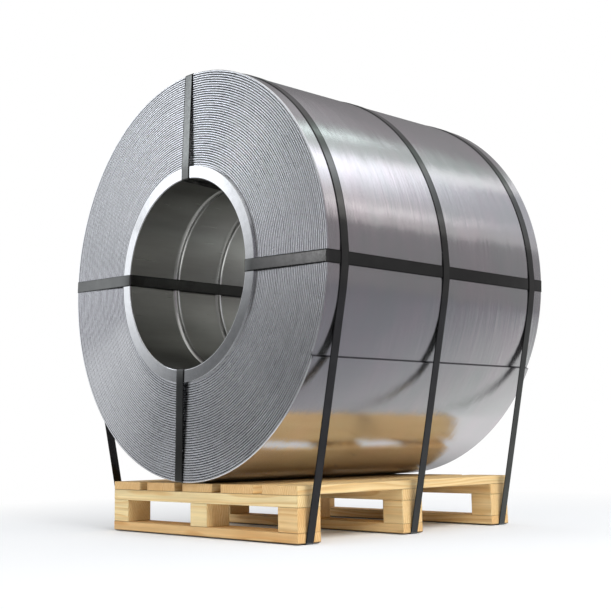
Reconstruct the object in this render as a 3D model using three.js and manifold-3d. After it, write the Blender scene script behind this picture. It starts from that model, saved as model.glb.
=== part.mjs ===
// A steel coil, eye to the side, strapped down on a block pallet.
//
// Millimetres, +Z up. The coil's axis lies along Y, and the front of the load faces -Y.
// The origin is on the floor, at the middle of the load's footprint.

import * as THREE from 'three';
import { mergeVertices } from 'three/addons/utils/BufferGeometryUtils.js';
import Module from 'manifold-3d';

// Coil: one strip, wound on the core sleeve.
const COIL_WIDTH = 835;
const COIL_OUTER_RADIUS = 548.5; // at the tail, the outer end of the strip
const STRIP_THICKNESS = 6.3;
const TAIL_ANGLE = -27.4; // degrees from +X towards +Z; the tail's edge faces up
const TAIL_RAKE = 1.5; // lean of the tail's sheared edge, along the strip

// The turns show on the coil's end faces as V grooves, one for each two or three turns.
const END_GROOVES = 16;
const END_GROOVE_DEPTH = 3;
const END_RIDGE_DROP = 0.4; // ridges between grooves, below the outermost turn
const OUTER_LAND = 12; // plain edge of the outermost turns, measured inwards

// Core sleeve: a turned tube with half-round stiffening beads rolled into its bore.
const BORE_RADIUS = 254;
const SLEEVE_WALL = 33.7;
const SLEEVE_PROUD = 7; // past the coil's end faces
const SLEEVE_CHAMFER = 1.5;
const BEAD_SETBACKS = [153, 306]; // bead middles, from the coil's nearer end face
const BEAD_WIDTH = 25;
const BEAD_HEIGHT = 7;
const BEAD_STEPS = 3;

// Steel strapping.
const STRAP_THICKNESS = 1.2;
const EYE_STRAP_WIDTH = 32; // four straps, through the eye
const GIRTH_STRAP_WIDTH = 25.4; // three straps, over the coil and under the pallet
const EYE_STRAP_ANGLES = { top: 88.6, left: 177.4, bottom: 266.8, right: 357.5 };
const GIRTH_STRAP_SETBACKS = { front: 55, middle: 419, rear: 785 }; // from the front end face

// Crimped seals: a folded clip over each strap, notched from both sides.
const SEAL_LENGTH = 45;
const SEAL_THICKNESS = 1;
const SEAL_FLANGE = 1; // how far the folded sides reach down past the strap's face
const SEAL_NOTCH = 4;
const SEAL_NOTCH_SPACING = 20;
const GIRTH_SEAL_ANGLE = 150; // where the girth seals sit round the coil
const EYE_SEAL_RADIUS = 420; // where the eye seals sit on the rear end face

// Pallet: three skids across the load, and deck boards along it.
const PALLET_WIDTH = 771; // along X
const PALLET_LENGTH = 799; // along Y
const PALLET_SHIFT = 23; // pallet's middle from the coil's axis, along X
const BOTTOM_BOARD_THICKNESS = 26;
const BLOCK_HEIGHT = 58;
const STRINGER_THICKNESS = 28;
const DECK_BOARD_THICKNESS = 22;
const SKID_WIDTH = 75; // along Y
const BLOCK_LENGTH = 70; // along X
const BLOCK_CORNER_RADIUS = 5;
const MIDDLE_BLOCK_SHIFT = 6;
const DECK_BOARD_WIDTH = 127;
const DECK_BOARDS = 5;
const TIMBER_CHAMFER = 2;

// Clearance between pieces that touch.
const FIT = 0.3;

// Facets round every turned piece, and for the strip's spiral, so that neighbours nest.
const SEGMENTS = 60;
const CORNER_SEGMENTS = 2; // an arc gets twice as many facets

const wasm = await Module();
wasm.setup();

const STEEL = { color: 0x9c9da3, roughness: 0.3, metalness: 1 };
const SLEEVE_STEEL = { color: 0xc9cacc, roughness: 0.35, metalness: 1 };
const STRAPPING = { color: 0x323332, roughness: 0.45, metalness: 0.6 };
const SEAL_STEEL = { color: 0x3d3e40, roughness: 0.4, metalness: 0.7 };
const PINE = { color: 0xd9b277, roughness: 0.75, metalness: 0 };
const DECK_PINE = { color: 0xdcb87f, roughness: 0.75, metalness: 0 };

const radians = THREE.MathUtils.degToRad;
const point = (x, y) => new THREE.Vector2(x, y);
const polar = (radius, angle) => point(radius * Math.cos(angle), radius * Math.sin(angle));

function mesh(name, geometry, finish) {
  const piece = new THREE.Mesh(geometry, new THREE.MeshStandardMaterial(finish));
  piece.name = name;
  return piece;
}

// ---------------------------------------------------------------- solids

function bare(geometry) {
  geometry.deleteAttribute('normal');
  geometry.deleteAttribute('uv');
  return mergeVertices(geometry);
}

function toSolid(geometry) {
  const merged = bare(geometry);
  return new wasm.Manifold(new wasm.Mesh({
    numProp: 3,
    vertProperties: new Float32Array(merged.attributes.position.array),
    triVerts: new Uint32Array(merged.index.array),
  }));
}

function toGeometry(solid) {
  const { vertProperties, triVerts } = solid.getMesh();
  const geometry = new THREE.BufferGeometry();
  geometry.setAttribute('position', new THREE.BufferAttribute(vertProperties, 3));
  geometry.setIndex(new THREE.BufferAttribute(triVerts, 1));
  geometry.computeVertexNormals();
  return geometry;
}

// A closed profile of (radius, y) points turned about Y, with its facets in step with the strip's.
function turned(profile) {
  const closed = [...profile, profile[0]];
  const ring = bare(new THREE.LatheGeometry(closed, SEGMENTS));
  return ring.rotateY(Math.PI / 2 - radians(TAIL_ANGLE));
}

// A section extruded along its normal, with its middle at zero.
function extruded(section, length) {
  const options = { depth: length, bevelEnabled: false, curveSegments: CORNER_SEGMENTS };
  const geometry = new THREE.ExtrudeGeometry(section, options);
  return geometry.translate(0, 0, -length / 2);
}

// ---------------------------------------------------------------- coil

const SLEEVE_OUTER_RADIUS = BORE_RADIUS + SLEEVE_WALL;
const COIL_INNER_RADIUS = SLEEVE_OUTER_RADIUS + FIT;

// The strip's outside face rises by one thickness over the last turn, anticlockwise to the tail.
const spiralRadius = (turned) => COIL_OUTER_RADIUS - STRIP_THICKNESS * (1 - turned);

function outerRadius(angle) {
  const turned = (angle - radians(TAIL_ANGLE)) / (2 * Math.PI);
  return spiralRadius(turned - Math.floor(turned));
}

const facetAngle = (i) => radians(TAIL_ANGLE) + ((i % SEGMENTS) / SEGMENTS) * 2 * Math.PI;

// The strip's outside face, from the foot of the tail's cut edge, all the way round to its top.
function coilOutline() {
  const corners = Array.from({ length: SEGMENTS + 1 }, (_, i) => i);
  const outline = corners.map((i) => polar(spiralRadius(i / SEGMENTS), facetAngle(i)));
  outline[0].rotateAround(point(0, 0), TAIL_RAKE / COIL_OUTER_RADIUS);
  return outline;
}

// The section of one end face, from the eye to the rim, as (radius, y).
function endProfile(end) {
  const face = end * (COIL_WIDTH / 2);
  const ridge = face - end * END_RIDGE_DROP;
  const valley = face - end * END_GROOVE_DEPTH;
  const inner = COIL_INNER_RADIUS + STRIP_THICKNESS;
  const outer = COIL_OUTER_RADIUS - OUTER_LAND;
  const pitch = (outer - inner) / END_GROOVES;
  const profile = [point(COIL_INNER_RADIUS, face), point(inner, face), point(inner, ridge)];
  for (let i = 0; i < END_GROOVES; i += 1) {
    profile.push(point(inner + (i + 0.5) * pitch, valley));
    profile.push(point(inner + (i + 1) * pitch, ridge));
  }
  return [...profile, point(outer, face), point(COIL_OUTER_RADIUS, face)];
}

// The coil is lofted round its axis from its section. The two rim corners climb with the
// strip, so the loft ends higher than it starts, and the tail's cut edge closes the step.
function coilGeometry() {
  const frontProfile = endProfile(-1);
  const section = [...frontProfile, ...endProfile(1).reverse()];
  const frontRim = frontProfile.length - 1;
  const rearRim = frontRim + 1;
  const positions = coilOutline().flatMap((rim, i) => section.flatMap(({ x, y }, j) => {
    const corner = j === frontRim || j === rearRim ? rim : polar(x, facetAngle(i));
    return [corner.x, y, corner.y];
  }));
  const faces = [];
  for (let i = 0; i < SEGMENTS; i += 1) {
    for (let j = 0; j < section.length; j += 1) {
      const a = i * section.length + j;
      const b = i * section.length + ((j + 1) % section.length);
      faces.push(a, b, b + section.length, a, b + section.length, a + section.length);
    }
  }
  const turn = SEGMENTS * section.length;
  faces.push(frontRim, frontRim + turn, rearRim + turn, frontRim, rearRim + turn, rearRim);
  faces.push(frontRim - 1, frontRim + turn, frontRim, rearRim + 1, rearRim, rearRim + turn);
  const geometry = new THREE.BufferGeometry();
  geometry.setAttribute('position', new THREE.Float32BufferAttribute(positions, 3));
  geometry.setIndex(faces);
  return bare(geometry);
}

// ---------------------------------------------------------------- core sleeve

function beadPoints(middle) {
  const arcRadius = (BEAD_WIDTH ** 2 / 4 + BEAD_HEIGHT ** 2) / (2 * BEAD_HEIGHT);
  const half = Math.asin(BEAD_WIDTH / 2 / arcRadius);
  const points = [];
  for (let i = 0; i <= BEAD_STEPS; i += 1) {
    const angle = half * (1 - (2 * i) / BEAD_STEPS);
    const rise = arcRadius * (Math.cos(angle) - Math.cos(half));
    points.push(point(BORE_RADIUS - rise, middle + arcRadius * Math.sin(angle)));
  }
  return points;
}

// Listed up the outside and back down the bore.
function sleeveProfile() {
  const end = COIL_WIDTH / 2 + SLEEVE_PROUD;
  const cut = SLEEVE_CHAMFER;
  const front = BEAD_SETBACKS.map((setback) => setback - COIL_WIDTH / 2);
  const beads = [...front, ...front.map((middle) => -middle)].sort((a, b) => b - a);
  return [
    point(BORE_RADIUS + cut, -end),
    point(SLEEVE_OUTER_RADIUS - cut, -end),
    point(SLEEVE_OUTER_RADIUS, cut - end),
    point(SLEEVE_OUTER_RADIUS, end - cut),
    point(SLEEVE_OUTER_RADIUS - cut, end),
    point(BORE_RADIUS + cut, end),
    point(BORE_RADIUS, end - cut),
    ...beads.flatMap(beadPoints),
    point(BORE_RADIUS, cut - end),
  ];
}

// ---------------------------------------------------------------- strapping

// The convex hull of a set of points, anticlockwise.
function convexHull(points) {
  const sorted = [...points].sort((a, b) => a.x - b.x || a.y - b.y);
  const straight = 1e-6;
  const chain = (ordered) => {
    const kept = [];
    for (const next of ordered) {
      while (kept.length > 1) {
        const [a, b] = kept.slice(-2);
        if ((b.x - a.x) * (next.y - a.y) - (b.y - a.y) * (next.x - a.x) > straight) break;
        kept.pop();
      }
      kept.push(next);
    }
    return kept.slice(0, -1);
  };
  return [...chain(sorted), ...chain(sorted.reverse())];
}

const outwardNormal = (from, to) => point(to.y - from.y, from.x - to.x).normalize();

// An anticlockwise loop moved outwards by a distance, with mitred corners.
function offsetLoop(loop, distance) {
  return loop.map((corner, i) => {
    const before = outwardNormal(loop.at(i - 1), corner);
    const after = outwardNormal(corner, loop[(i + 1) % loop.length]);
    const mitre = distance / (1 + before.dot(after));
    return corner.clone().add(before.add(after).multiplyScalar(mitre));
  });
}

// The seal: a U section over the strap, crimped by two V notches in each side.
function sealGeometry(strapWidth) {
  const inside = strapWidth / 2 + FIT;
  const outside = inside + SEAL_THICKNESS;
  const top = FIT + SEAL_THICKNESS;
  const section = new THREE.Shape([
    point(-outside, -SEAL_FLANGE), point(-inside, -SEAL_FLANGE), point(-inside, FIT),
    point(inside, FIT), point(inside, -SEAL_FLANGE), point(outside, -SEAL_FLANGE),
    point(outside, top), point(-outside, top),
  ]);
  let clip = toSolid(extruded(section, SEAL_LENGTH));
  for (const side of [-1, 1]) {
    for (const along of [-SEAL_NOTCH_SPACING / 2, SEAL_NOTCH_SPACING / 2]) {
      const notch = new THREE.CylinderGeometry(SEAL_NOTCH, SEAL_NOTCH, 4 * top, 4);
      clip = clip.subtract(toSolid(notch.translate(side * (outside + SEAL_NOTCH / 2), 0, along)));
    }
  }
  return toGeometry(clip);
}

// Sits a seal on the strap's outer loop, on a straight of it, as near to a place as it goes.
function placeSeal(seal, loop, place) {
  const seats = loop.map((from, i) => {
    const side = loop[(i + 1) % loop.length].clone().sub(from);
    const margin = Math.min(SEAL_LENGTH / 2 / side.length(), 0.5);
    const share = place.clone().sub(from).dot(side) / side.lengthSq();
    const seat = THREE.MathUtils.clamp(share, margin, 1 - margin);
    return { side, middle: from.clone().addScaledVector(side, seat) };
  });
  const long = seats.filter(({ side }) => side.length() > SEAL_LENGTH);
  const near = (a, b) => a.middle.distanceTo(place) - b.middle.distanceTo(place);
  const { side, middle } = (long.length ? long : seats).sort(near)[0];
  const along = new THREE.Vector3(side.x, side.y, 0).normalize();
  const normal = new THREE.Vector3(along.y, -along.x, 0);
  const across = normal.clone().cross(along);
  seal.quaternion.setFromRotationMatrix(new THREE.Matrix4().makeBasis(across, normal, along));
  seal.position.set(middle.x, middle.y, 0);
}

// A tight strap takes the shortest way round what it binds, so it follows the convex hull of
// the section that holds it. The strap and its seal lie in the XY plane of their group.
function strapAndSeal(kind, place, supports, width, sealPlace) {
  const hull = convexHull(supports);
  const outer = offsetLoop(hull, FIT + STRAP_THICKNESS);
  const section = new THREE.Shape(outer);
  section.holes.push(new THREE.Path(offsetLoop(hull, FIT)));
  const strap = mesh(`${kind}_strap_${place}`, extruded(section, width), STRAPPING);
  const seal = mesh(`${kind}_seal_${place}`, sealGeometry(width), SEAL_STEEL);
  placeSeal(seal, outer, sealPlace);
  return new THREE.Group().add(strap, seal);
}

// A flat strap inside the round bore touches the wall's facets with its two edges.
function flatInBore(radius) {
  const facet = radius * Math.cos(Math.PI / SEGMENTS);
  return Math.sqrt(facet ** 2 - (EYE_STRAP_WIDTH / 2) ** 2);
}

// The coil's radius under an eye strap, at the higher of the strap's two edges.
function radiusUnderStrap(angle) {
  const halfSpan = Math.asin(EYE_STRAP_WIDTH / 2 / COIL_OUTER_RADIUS);
  return Math.max(outerRadius(angle - halfSpan), outerRadius(angle + halfSpan));
}

// Half of the coil and sleeve's section through the axis, as (radius, y).
function eyeStrapSupports(angle) {
  const rim = radiusUnderStrap(angle);
  const wallMiddle = BORE_RADIUS + SLEEVE_WALL / 2;
  return [
    point(rim, -COIL_WIDTH / 2),
    point(rim, COIL_WIDTH / 2),
    ...sleeveProfile().map(({ x, y }) => point(x < wallMiddle ? flatInBore(x) : x, y)),
  ];
}

function eyeStrap(place, degrees) {
  const angle = radians(degrees);
  const sealPlace = point(EYE_SEAL_RADIUS, COIL_WIDTH / 2);
  const supports = eyeStrapSupports(angle);
  const group = strapAndSeal('eye', place, supports, EYE_STRAP_WIDTH, sealPlace);
  group.rotation.y = -angle;
  return group;
}

// The two outer corners of an eye strap where it runs along the outside of the coil.
function eyeStrapCorners(degrees) {
  const angle = radians(degrees);
  const face = radiusUnderStrap(angle) + FIT + STRAP_THICKNESS;
  const corner = (side) => point(face, (side * EYE_STRAP_WIDTH) / 2);
  return [-1, 1].map((side) => corner(side).rotateAround(point(0, 0), angle));
}

// ---------------------------------------------------------------- levels

const BOTTOM_BOARD_LEVEL = STRAP_THICKNESS + FIT;
const BLOCK_LEVEL = BOTTOM_BOARD_LEVEL + BOTTOM_BOARD_THICKNESS + FIT;
const STRINGER_LEVEL = BLOCK_LEVEL + BLOCK_HEIGHT + FIT;
const DECK_LEVEL = STRINGER_LEVEL + STRINGER_THICKNESS + FIT;
const DECK_TOP = DECK_LEVEL + DECK_BOARD_THICKNESS;

// The coil stands on whichever is lower: the bottom eye strap, or the strip itself.
function axisHeight() {
  const strapReach = Math.max(...eyeStrapCorners(EYE_STRAP_ANGLES.bottom).map(({ y }) => -y));
  const stripReach = Math.max(...coilOutline().map(({ y }) => -y));
  return DECK_TOP + FIT + Math.max(strapReach, stripReach);
}

const AXIS_HEIGHT = axisHeight();

// ---------------------------------------------------------------- girth straps

function girthStrapSupports() {
  const fromAxis = (level) => level - AXIS_HEIGHT;
  const left = PALLET_SHIFT - PALLET_WIDTH / 2;
  const right = PALLET_SHIFT + PALLET_WIDTH / 2;
  return [
    ...coilOutline(),
    ...Object.values(EYE_STRAP_ANGLES).flatMap(eyeStrapCorners),
    point(left, fromAxis(BOTTOM_BOARD_LEVEL)),
    point(right, fromAxis(BOTTOM_BOARD_LEVEL)),
  ];
}

function girthStrap(place, setback) {
  const sealPlace = polar(COIL_OUTER_RADIUS, radians(GIRTH_SEAL_ANGLE));
  const supports = girthStrapSupports();
  const group = strapAndSeal('girth', place, supports, GIRTH_STRAP_WIDTH, sealPlace);
  group.rotation.x = Math.PI / 2;
  group.position.y = setback - COIL_WIDTH / 2;
  return group;
}

// ---------------------------------------------------------------- pallet

function chamferedRectangle(width, height) {
  const x = width / 2;
  const y = height / 2;
  const cut = TIMBER_CHAMFER;
  return new THREE.Shape([
    point(cut - x, -y), point(x - cut, -y), point(x, cut - y), point(x, y - cut),
    point(x - cut, y), point(cut - x, y), point(-x, y - cut), point(-x, cut - y),
  ]);
}

// A sawn board lying along X, with its underside at a level.
function boardAlongX(name, x, y, level, [length, width, thickness], finish) {
  const geometry = extruded(chamferedRectangle(width, thickness), length);
  geometry.rotateX(Math.PI / 2).rotateZ(Math.PI / 2);
  const board = mesh(name, geometry, finish);
  board.position.set(x, y, level + thickness / 2);
  return board;
}

// A sawn board lying along Y, with its underside at a level.
function boardAlongY(name, x, level, [length, width, thickness], finish) {
  const geometry = extruded(chamferedRectangle(width, thickness), length).rotateX(Math.PI / 2);
  const board = mesh(name, geometry, finish);
  board.position.set(x, 0, level + thickness / 2);
  return board;
}

function roundedRectangle(width, height, radius) {
  const x = width / 2 - radius;
  const y = height / 2 - radius;
  const shape = new THREE.Shape();
  [[x, y], [-x, y], [-x, -y], [x, -y]].forEach(([cornerX, cornerY], i) => {
    shape.absarc(cornerX, cornerY, radius, (i * Math.PI) / 2, ((i + 1) * Math.PI) / 2, false);
  });
  return shape;
}

// A block with rounded upright edges. Its grain runs along the skid.
function block(name, x, y) {
  const section = roundedRectangle(BLOCK_LENGTH, SKID_WIDTH, BLOCK_CORNER_RADIUS);
  const geometry = extruded(section, BLOCK_HEIGHT);
  const piece = mesh(name, geometry, PINE);
  piece.position.set(x, y, BLOCK_LEVEL + BLOCK_HEIGHT / 2);
  return piece;
}

function skid(place, y) {
  const bottomBoard = [PALLET_WIDTH, SKID_WIDTH, BOTTOM_BOARD_THICKNESS];
  const stringer = [PALLET_WIDTH, SKID_WIDTH, STRINGER_THICKNESS];
  const reach = (PALLET_WIDTH - BLOCK_LENGTH) / 2;
  const group = new THREE.Group();
  group.add(boardAlongX(`bottom_board_${place}`, 0, y, BOTTOM_BOARD_LEVEL, bottomBoard, PINE));
  group.add(block(`block_${place}_left`, -reach, y));
  group.add(block(`block_${place}_middle`, MIDDLE_BLOCK_SHIFT, y));
  group.add(block(`block_${place}_right`, reach, y));
  group.add(boardAlongX(`stringer_${place}`, 0, y, STRINGER_LEVEL, stringer, PINE));
  return group;
}

function pallet() {
  const group = new THREE.Group();
  const skidReach = (PALLET_LENGTH - SKID_WIDTH) / 2;
  group.add(skid('front', -skidReach));
  group.add(skid('middle', 0));
  group.add(skid('rear', skidReach));
  const deckBoard = [PALLET_LENGTH, DECK_BOARD_WIDTH, DECK_BOARD_THICKNESS];
  const pitch = (PALLET_WIDTH - DECK_BOARD_WIDTH) / (DECK_BOARDS - 1);
  for (let i = 0; i < DECK_BOARDS; i += 1) {
    const x = (DECK_BOARD_WIDTH - PALLET_WIDTH) / 2 + i * pitch;
    group.add(boardAlongY(`deck_board_${i + 1}`, x, DECK_LEVEL, deckBoard, DECK_PINE));
  }
  group.position.x = PALLET_SHIFT;
  return group;
}

// ---------------------------------------------------------------- load

function load() {
  const onAxis = new THREE.Group();
  onAxis.add(mesh('coil', coilGeometry(), STEEL));
  onAxis.add(mesh('core_sleeve', turned(sleeveProfile()), SLEEVE_STEEL));
  for (const [place, degrees] of Object.entries(EYE_STRAP_ANGLES)) {
    onAxis.add(eyeStrap(place, degrees));
  }
  for (const [place, setback] of Object.entries(GIRTH_STRAP_SETBACKS)) {
    onAxis.add(girthStrap(place, setback));
  }
  onAxis.position.z = AXIS_HEIGHT;
  return onAxis;
}

const part = new THREE.Group();
part.add(load(), pallet());

export default part;
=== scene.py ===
# %% [markdown]
# # A strapped steel coil on its pallet
# The load is one long steel strip, wound on a core sleeve and laid on its side. Four straps
# run through its eye and three more tie it to a small block pallet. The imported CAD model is
# the fixed frame: it gives every size and place, and each piece below is built to sit in it.
# Lengths are metres. The coil's axis lies along Y and the front end face looks towards -Y.

# %% Load the frame
import math
import random

import bmesh
import bpy
import numpy as np
from mathutils import Matrix, Vector


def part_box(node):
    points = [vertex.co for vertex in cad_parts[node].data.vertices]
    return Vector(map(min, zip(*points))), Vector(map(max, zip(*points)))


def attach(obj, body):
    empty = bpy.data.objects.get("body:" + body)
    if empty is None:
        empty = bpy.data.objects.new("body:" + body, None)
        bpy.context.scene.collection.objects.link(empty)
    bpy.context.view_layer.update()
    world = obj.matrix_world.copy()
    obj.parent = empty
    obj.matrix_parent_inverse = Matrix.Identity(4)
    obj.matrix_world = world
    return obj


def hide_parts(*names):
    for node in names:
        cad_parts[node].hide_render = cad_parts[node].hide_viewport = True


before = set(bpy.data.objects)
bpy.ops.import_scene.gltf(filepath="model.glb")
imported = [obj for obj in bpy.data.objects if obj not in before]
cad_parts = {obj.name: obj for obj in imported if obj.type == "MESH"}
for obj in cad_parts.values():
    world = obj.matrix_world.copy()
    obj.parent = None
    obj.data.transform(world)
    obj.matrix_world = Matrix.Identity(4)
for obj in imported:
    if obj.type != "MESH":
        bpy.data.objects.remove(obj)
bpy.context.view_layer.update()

# %% [markdown]
# ## Main sizes
# The coil and the sleeve are round, so three numbers each describe them: where the axis is,
# how wide the piece is and its radii. The boxes of the CAD nodes give the axis and the
# widths. The radii are written here, because a box round a faceted cylinder is a little
# smaller than the true circle.

# %% Main sizes
MILLIMETRE = 0.001
coil_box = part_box("coil")
sleeve_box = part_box("core_sleeve")
AXIS_HEIGHT = (sleeve_box[0].z + sleeve_box[1].z) / 2
COIL_HALF_WIDTH = coil_box[1].y
SLEEVE_HALF_WIDTH = sleeve_box[1].y

TAIL_RADIUS = 0.5485  # the strip's outside face at its outer end
TAIL_ANGLE = math.radians(-27.4)  # from +X towards +Z
STRIP_THICKNESS = 0.0063
SLEEVE_RADIUS = 0.2877
BORE_RADIUS = 0.254
STRAP_THICKNESS = 0.0012
FIT = 0.0003  # clearance between pieces that touch
print(f"axis {AXIS_HEIGHT:.4f} m up, coil {2 * COIL_HALF_WIDTH:.3f} m wide")

# %% [markdown]
# ## Helpers for meshes
# Most pieces here are skins: rows of points joined by four-sided faces. They could be
# primitives with modifiers, but a skin puts every point where the CAD says. One helper joins
# a grid of points. Another makes the object, lets it ride on the load and, where there is
# one, takes the place of its CAD node. A third writes numbers on the mesh, such as how much
# dirt and painted shade darken each point, for the material to read.

# %% Mesh helpers
FLAT = 0.999  # a face whose normal is this near to an axis is one of the flat sides


def grid_faces(rows, around=False):
    """Four-sided faces between neighbouring rows of vertex numbers; around closes each row."""
    faces = []
    for here, ahead in zip(rows, rows[1:]):
        count = len(here)
        for i in range(count if around else count - 1):
            j = (i + 1) % count
            faces.append((here[i], here[j], ahead[j], ahead[i]))
    return faces


def place_piece(name, mesh, replaces=()):
    """An object that rides on the load and takes the place of the CAD nodes it names."""
    piece = bpy.data.objects.new(name, mesh)
    bpy.context.scene.collection.objects.link(piece)
    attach(piece, "root")
    if replaces:
        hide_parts(*replaces)
    return piece


def make_piece(name, vertices, faces, slot, replaces=(), smooth_below=50):
    """A piece from its skin. Normals point outwards, and edges below an angle in degrees
    are smoothed."""
    mesh = bpy.data.meshes.new(name)
    mesh.from_pydata([tuple(vertex) for vertex in vertices], [], faces)
    build = bmesh.new()
    build.from_mesh(mesh)
    bmesh.ops.recalc_face_normals(build, faces=build.faces)
    build.to_mesh(mesh)
    build.free()
    mesh.shade_smooth()
    mesh.set_sharp_from_angle(angle=math.radians(smooth_below))
    return place_piece(name, mesh, replaces)


def write_values(mesh, name, values, domain="POINT"):
    """Gives every point or face of a mesh a number that its material can read."""
    mesh.attributes.new(name, "FLOAT", domain).data.foreach_set("value", values)


def report(piece):
    size = piece.dimensions
    print(f"{piece.name}: {len(piece.data.polygons)} faces, "
          f"{size.x:.3f} x {size.y:.3f} x {size.z:.3f} m")


# %% [markdown]
# ## Camera
# The load is seen from low down, a little below its middle, from the front right. The
# viewpoint was measured on the ellipses of the coil's two rims, so it is written as a place,
# three angles and a focal length in pixels of a frame 611 wide and 609 high. A shift keeps
# the load in the same place in the frame without turning the camera.

# %% Camera
FRAME_WIDTH, FRAME_HEIGHT = 611, 609
CAMERA_PLACE = Vector((2.322, -2.127, 0.236))
AZIMUTH, ELEVATION, ROLL = 0.808014, -0.135105, -0.01647
FOCAL_PIXELS = 1090.816
CENTRE_X, CENTRE_Y = 325.307, 294.175  # the pixel that the camera points at
SENSOR = 36.0

camera_data = bpy.data.cameras.new("camera")
camera_data.sensor_width = SENSOR
camera_data.lens = FOCAL_PIXELS * SENSOR / FRAME_WIDTH
camera_data.shift_x = (FRAME_WIDTH / 2 - CENTRE_X) / FRAME_WIDTH
camera_data.shift_y = (CENTRE_Y - FRAME_HEIGHT / 2) / FRAME_WIDTH

back = Vector((math.sin(AZIMUTH) * math.cos(ELEVATION),
               -math.cos(AZIMUTH) * math.cos(ELEVATION), math.sin(ELEVATION)))
right = Vector((math.cos(AZIMUTH), math.sin(AZIMUTH), 0))
up = back.cross(right)
rolled_right = math.cos(ROLL) * right + math.sin(ROLL) * up
rolled_up = math.cos(ROLL) * up - math.sin(ROLL) * right

camera = bpy.data.objects.new("camera", camera_data)
camera.matrix_world = Matrix((rolled_right, rolled_up, back)).transposed().to_4x4()
camera.location = CAMERA_PLACE
bpy.context.scene.collection.objects.link(camera)
bpy.context.scene.camera = camera
print(f"lens {camera_data.lens:.2f} mm, shift {camera_data.shift_x:.4f}, {camera_data.shift_y:.4f}")

# %% [markdown]
# ## The wound strip
# The coil is one strip, so its end faces show one spiral line from the sleeve to the rim and
# its outer end leaves a step one strip high. A plain tube with a bump map would lose the
# step and the ragged rim, and a strip modelled turn by turn would hide most of its faces.
# So the section of the coil is swept round the axis while every line in it climbs by one
# thickness in each turn. The last ring then meets the first one turn further out, and
# only the tail's cut edge and the strip's start need faces of their own.

# %% Sizes of the turns
RINGS = 200  # sections round the axis
TURNS = 40  # turns that show whole on the end faces
INNER_RADIUS = SLEEVE_RADIUS + FIT
# One turn's edge across its thickness: share of the thickness, and depth below the face.
EDGE_SHAPE = [(0.0, 2.6 * MILLIMETRE), (0.13, 1.0 * MILLIMETRE), (0.25, 0.0),
              (0.66, 0.0), (0.8, 0.45 * MILLIMETRE)]
# The innermost turn fills what is left beside the sleeve: share of that room, and depth.
START_SHAPE = [(0.0, 0.9 * MILLIMETRE), (0.15, 0.25 * MILLIMETRE), (0.85, 0.25 * MILLIMETRE)]
# The outermost turn's rim, rounded: inset from the outside, and depth below the face.
RIM_SHAPE = [(3.2 * MILLIMETRE, 0.0), (2.7 * MILLIMETRE, 0.15 * MILLIMETRE),
             (0.15 * MILLIMETRE, 2.7 * MILLIMETRE), (0.0, 3.2 * MILLIMETRE)]
ACROSS = 28  # rows of faces across the strip's width
ACROSS_MARGIN = 4 * MILLIMETRE  # between them and each end face
TURN_WANDER = 0.25 * MILLIMETRE  # how unevenly the turns lie on each other
TURN_STAGGER = 0.3 * MILLIMETRE  # how far a turn's edge lies below the face
KNOTS_PER_TURN = 3  # how often along the strip that changes


def outer_radius(turned):
    """The strip's outside face, for a share of the last turn between its foot and the tail."""
    return TAIL_RADIUS - STRIP_THICKNESS * (1 - turned)


print(f"{TURNS} turns between {1000 * INNER_RADIUS:.1f} and {1000 * TAIL_RADIUS:.1f} mm")


# %% Unevenness of the winding
def wandering(count, size, seed):
    """A smooth random curve along the strip, read by the number of turns from the start."""
    dice = np.random.default_rng(seed)
    knots = dice.uniform(0, size, KNOTS_PER_TURN * count + 8)

    def read(turns):
        place = np.asarray(turns) * KNOTS_PER_TURN
        low = np.floor(place).astype(int)
        share = place - low
        share = share * share * (3 - 2 * share)
        return knots[low] * (1 - share) + knots[low + 1] * share

    return read


front_wander = wandering(TURNS + 2, TURN_WANDER, seed=3)
front_stagger = wandering(TURNS + 2, TURN_STAGGER, seed=5)
rear_stagger = wandering(TURNS + 2, TURN_STAGGER, seed=8)
print(f"halfway out, the front face drifts by {1000 * front_wander(TURNS / 2):.2f} mm")


# %% Section of the coil
def end_section(turned, wander, stagger):
    """Radius and depth of each point of one end face, from the sleeve out to the rim."""
    rim = outer_radius(turned)
    room = rim - TURNS * STRIP_THICKNESS - INNER_RADIUS
    section = [(INNER_RADIUS + share * room, depth) for share, depth in START_SHAPE]
    for turn in range(TURNS):
        start = rim - (TURNS - turn) * STRIP_THICKNESS
        for share, depth in EDGE_SHAPE:
            along = turn + turned
            drift = wander(along) * (turn < TURNS - 1) * (turn > 0)
            sunk = stagger(along) * (turn < TURNS - 1)
            section.append((start + share * STRIP_THICKNESS - drift, depth + sunk))
    return section + [(rim - inset, depth) for inset, depth in RIM_SHAPE]


def coil_section(turned):
    """The whole outline in the plane of the axis, from the front of the eye to the rear."""
    front = end_section(turned, front_wander, front_stagger)
    rear = end_section(turned, front_wander, rear_stagger)
    reach = COIL_HALF_WIDTH - ACROSS_MARGIN
    middle = [(outer_radius(turned), y) for y in np.linspace(-reach, reach, ACROSS + 1)]
    return ([(radius, depth - COIL_HALF_WIDTH) for radius, depth in front] + middle
            + [(radius, COIL_HALF_WIDTH - depth) for radius, depth in reversed(rear)])


END_POINTS = len(START_SHAPE) + TURNS * len(EDGE_SHAPE) + len(RIM_SHAPE)
SECTION_POINTS = 2 * END_POINTS + ACROSS + 1
TURNS_START = len(START_SHAPE)  # the number of the first turn's first point
RIM_START = END_POINTS - len(RIM_SHAPE)  # and of the rim's
print(f"{SECTION_POINTS} points in the section, {RINGS} sections round the coil")


# %% Sweep the section
def around_axis(radius, y, angle):
    """A point of the load, from its radius and angle about the coil's axis."""
    return (radius * math.cos(angle), y, AXIS_HEIGHT + radius * math.sin(angle))


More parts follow.
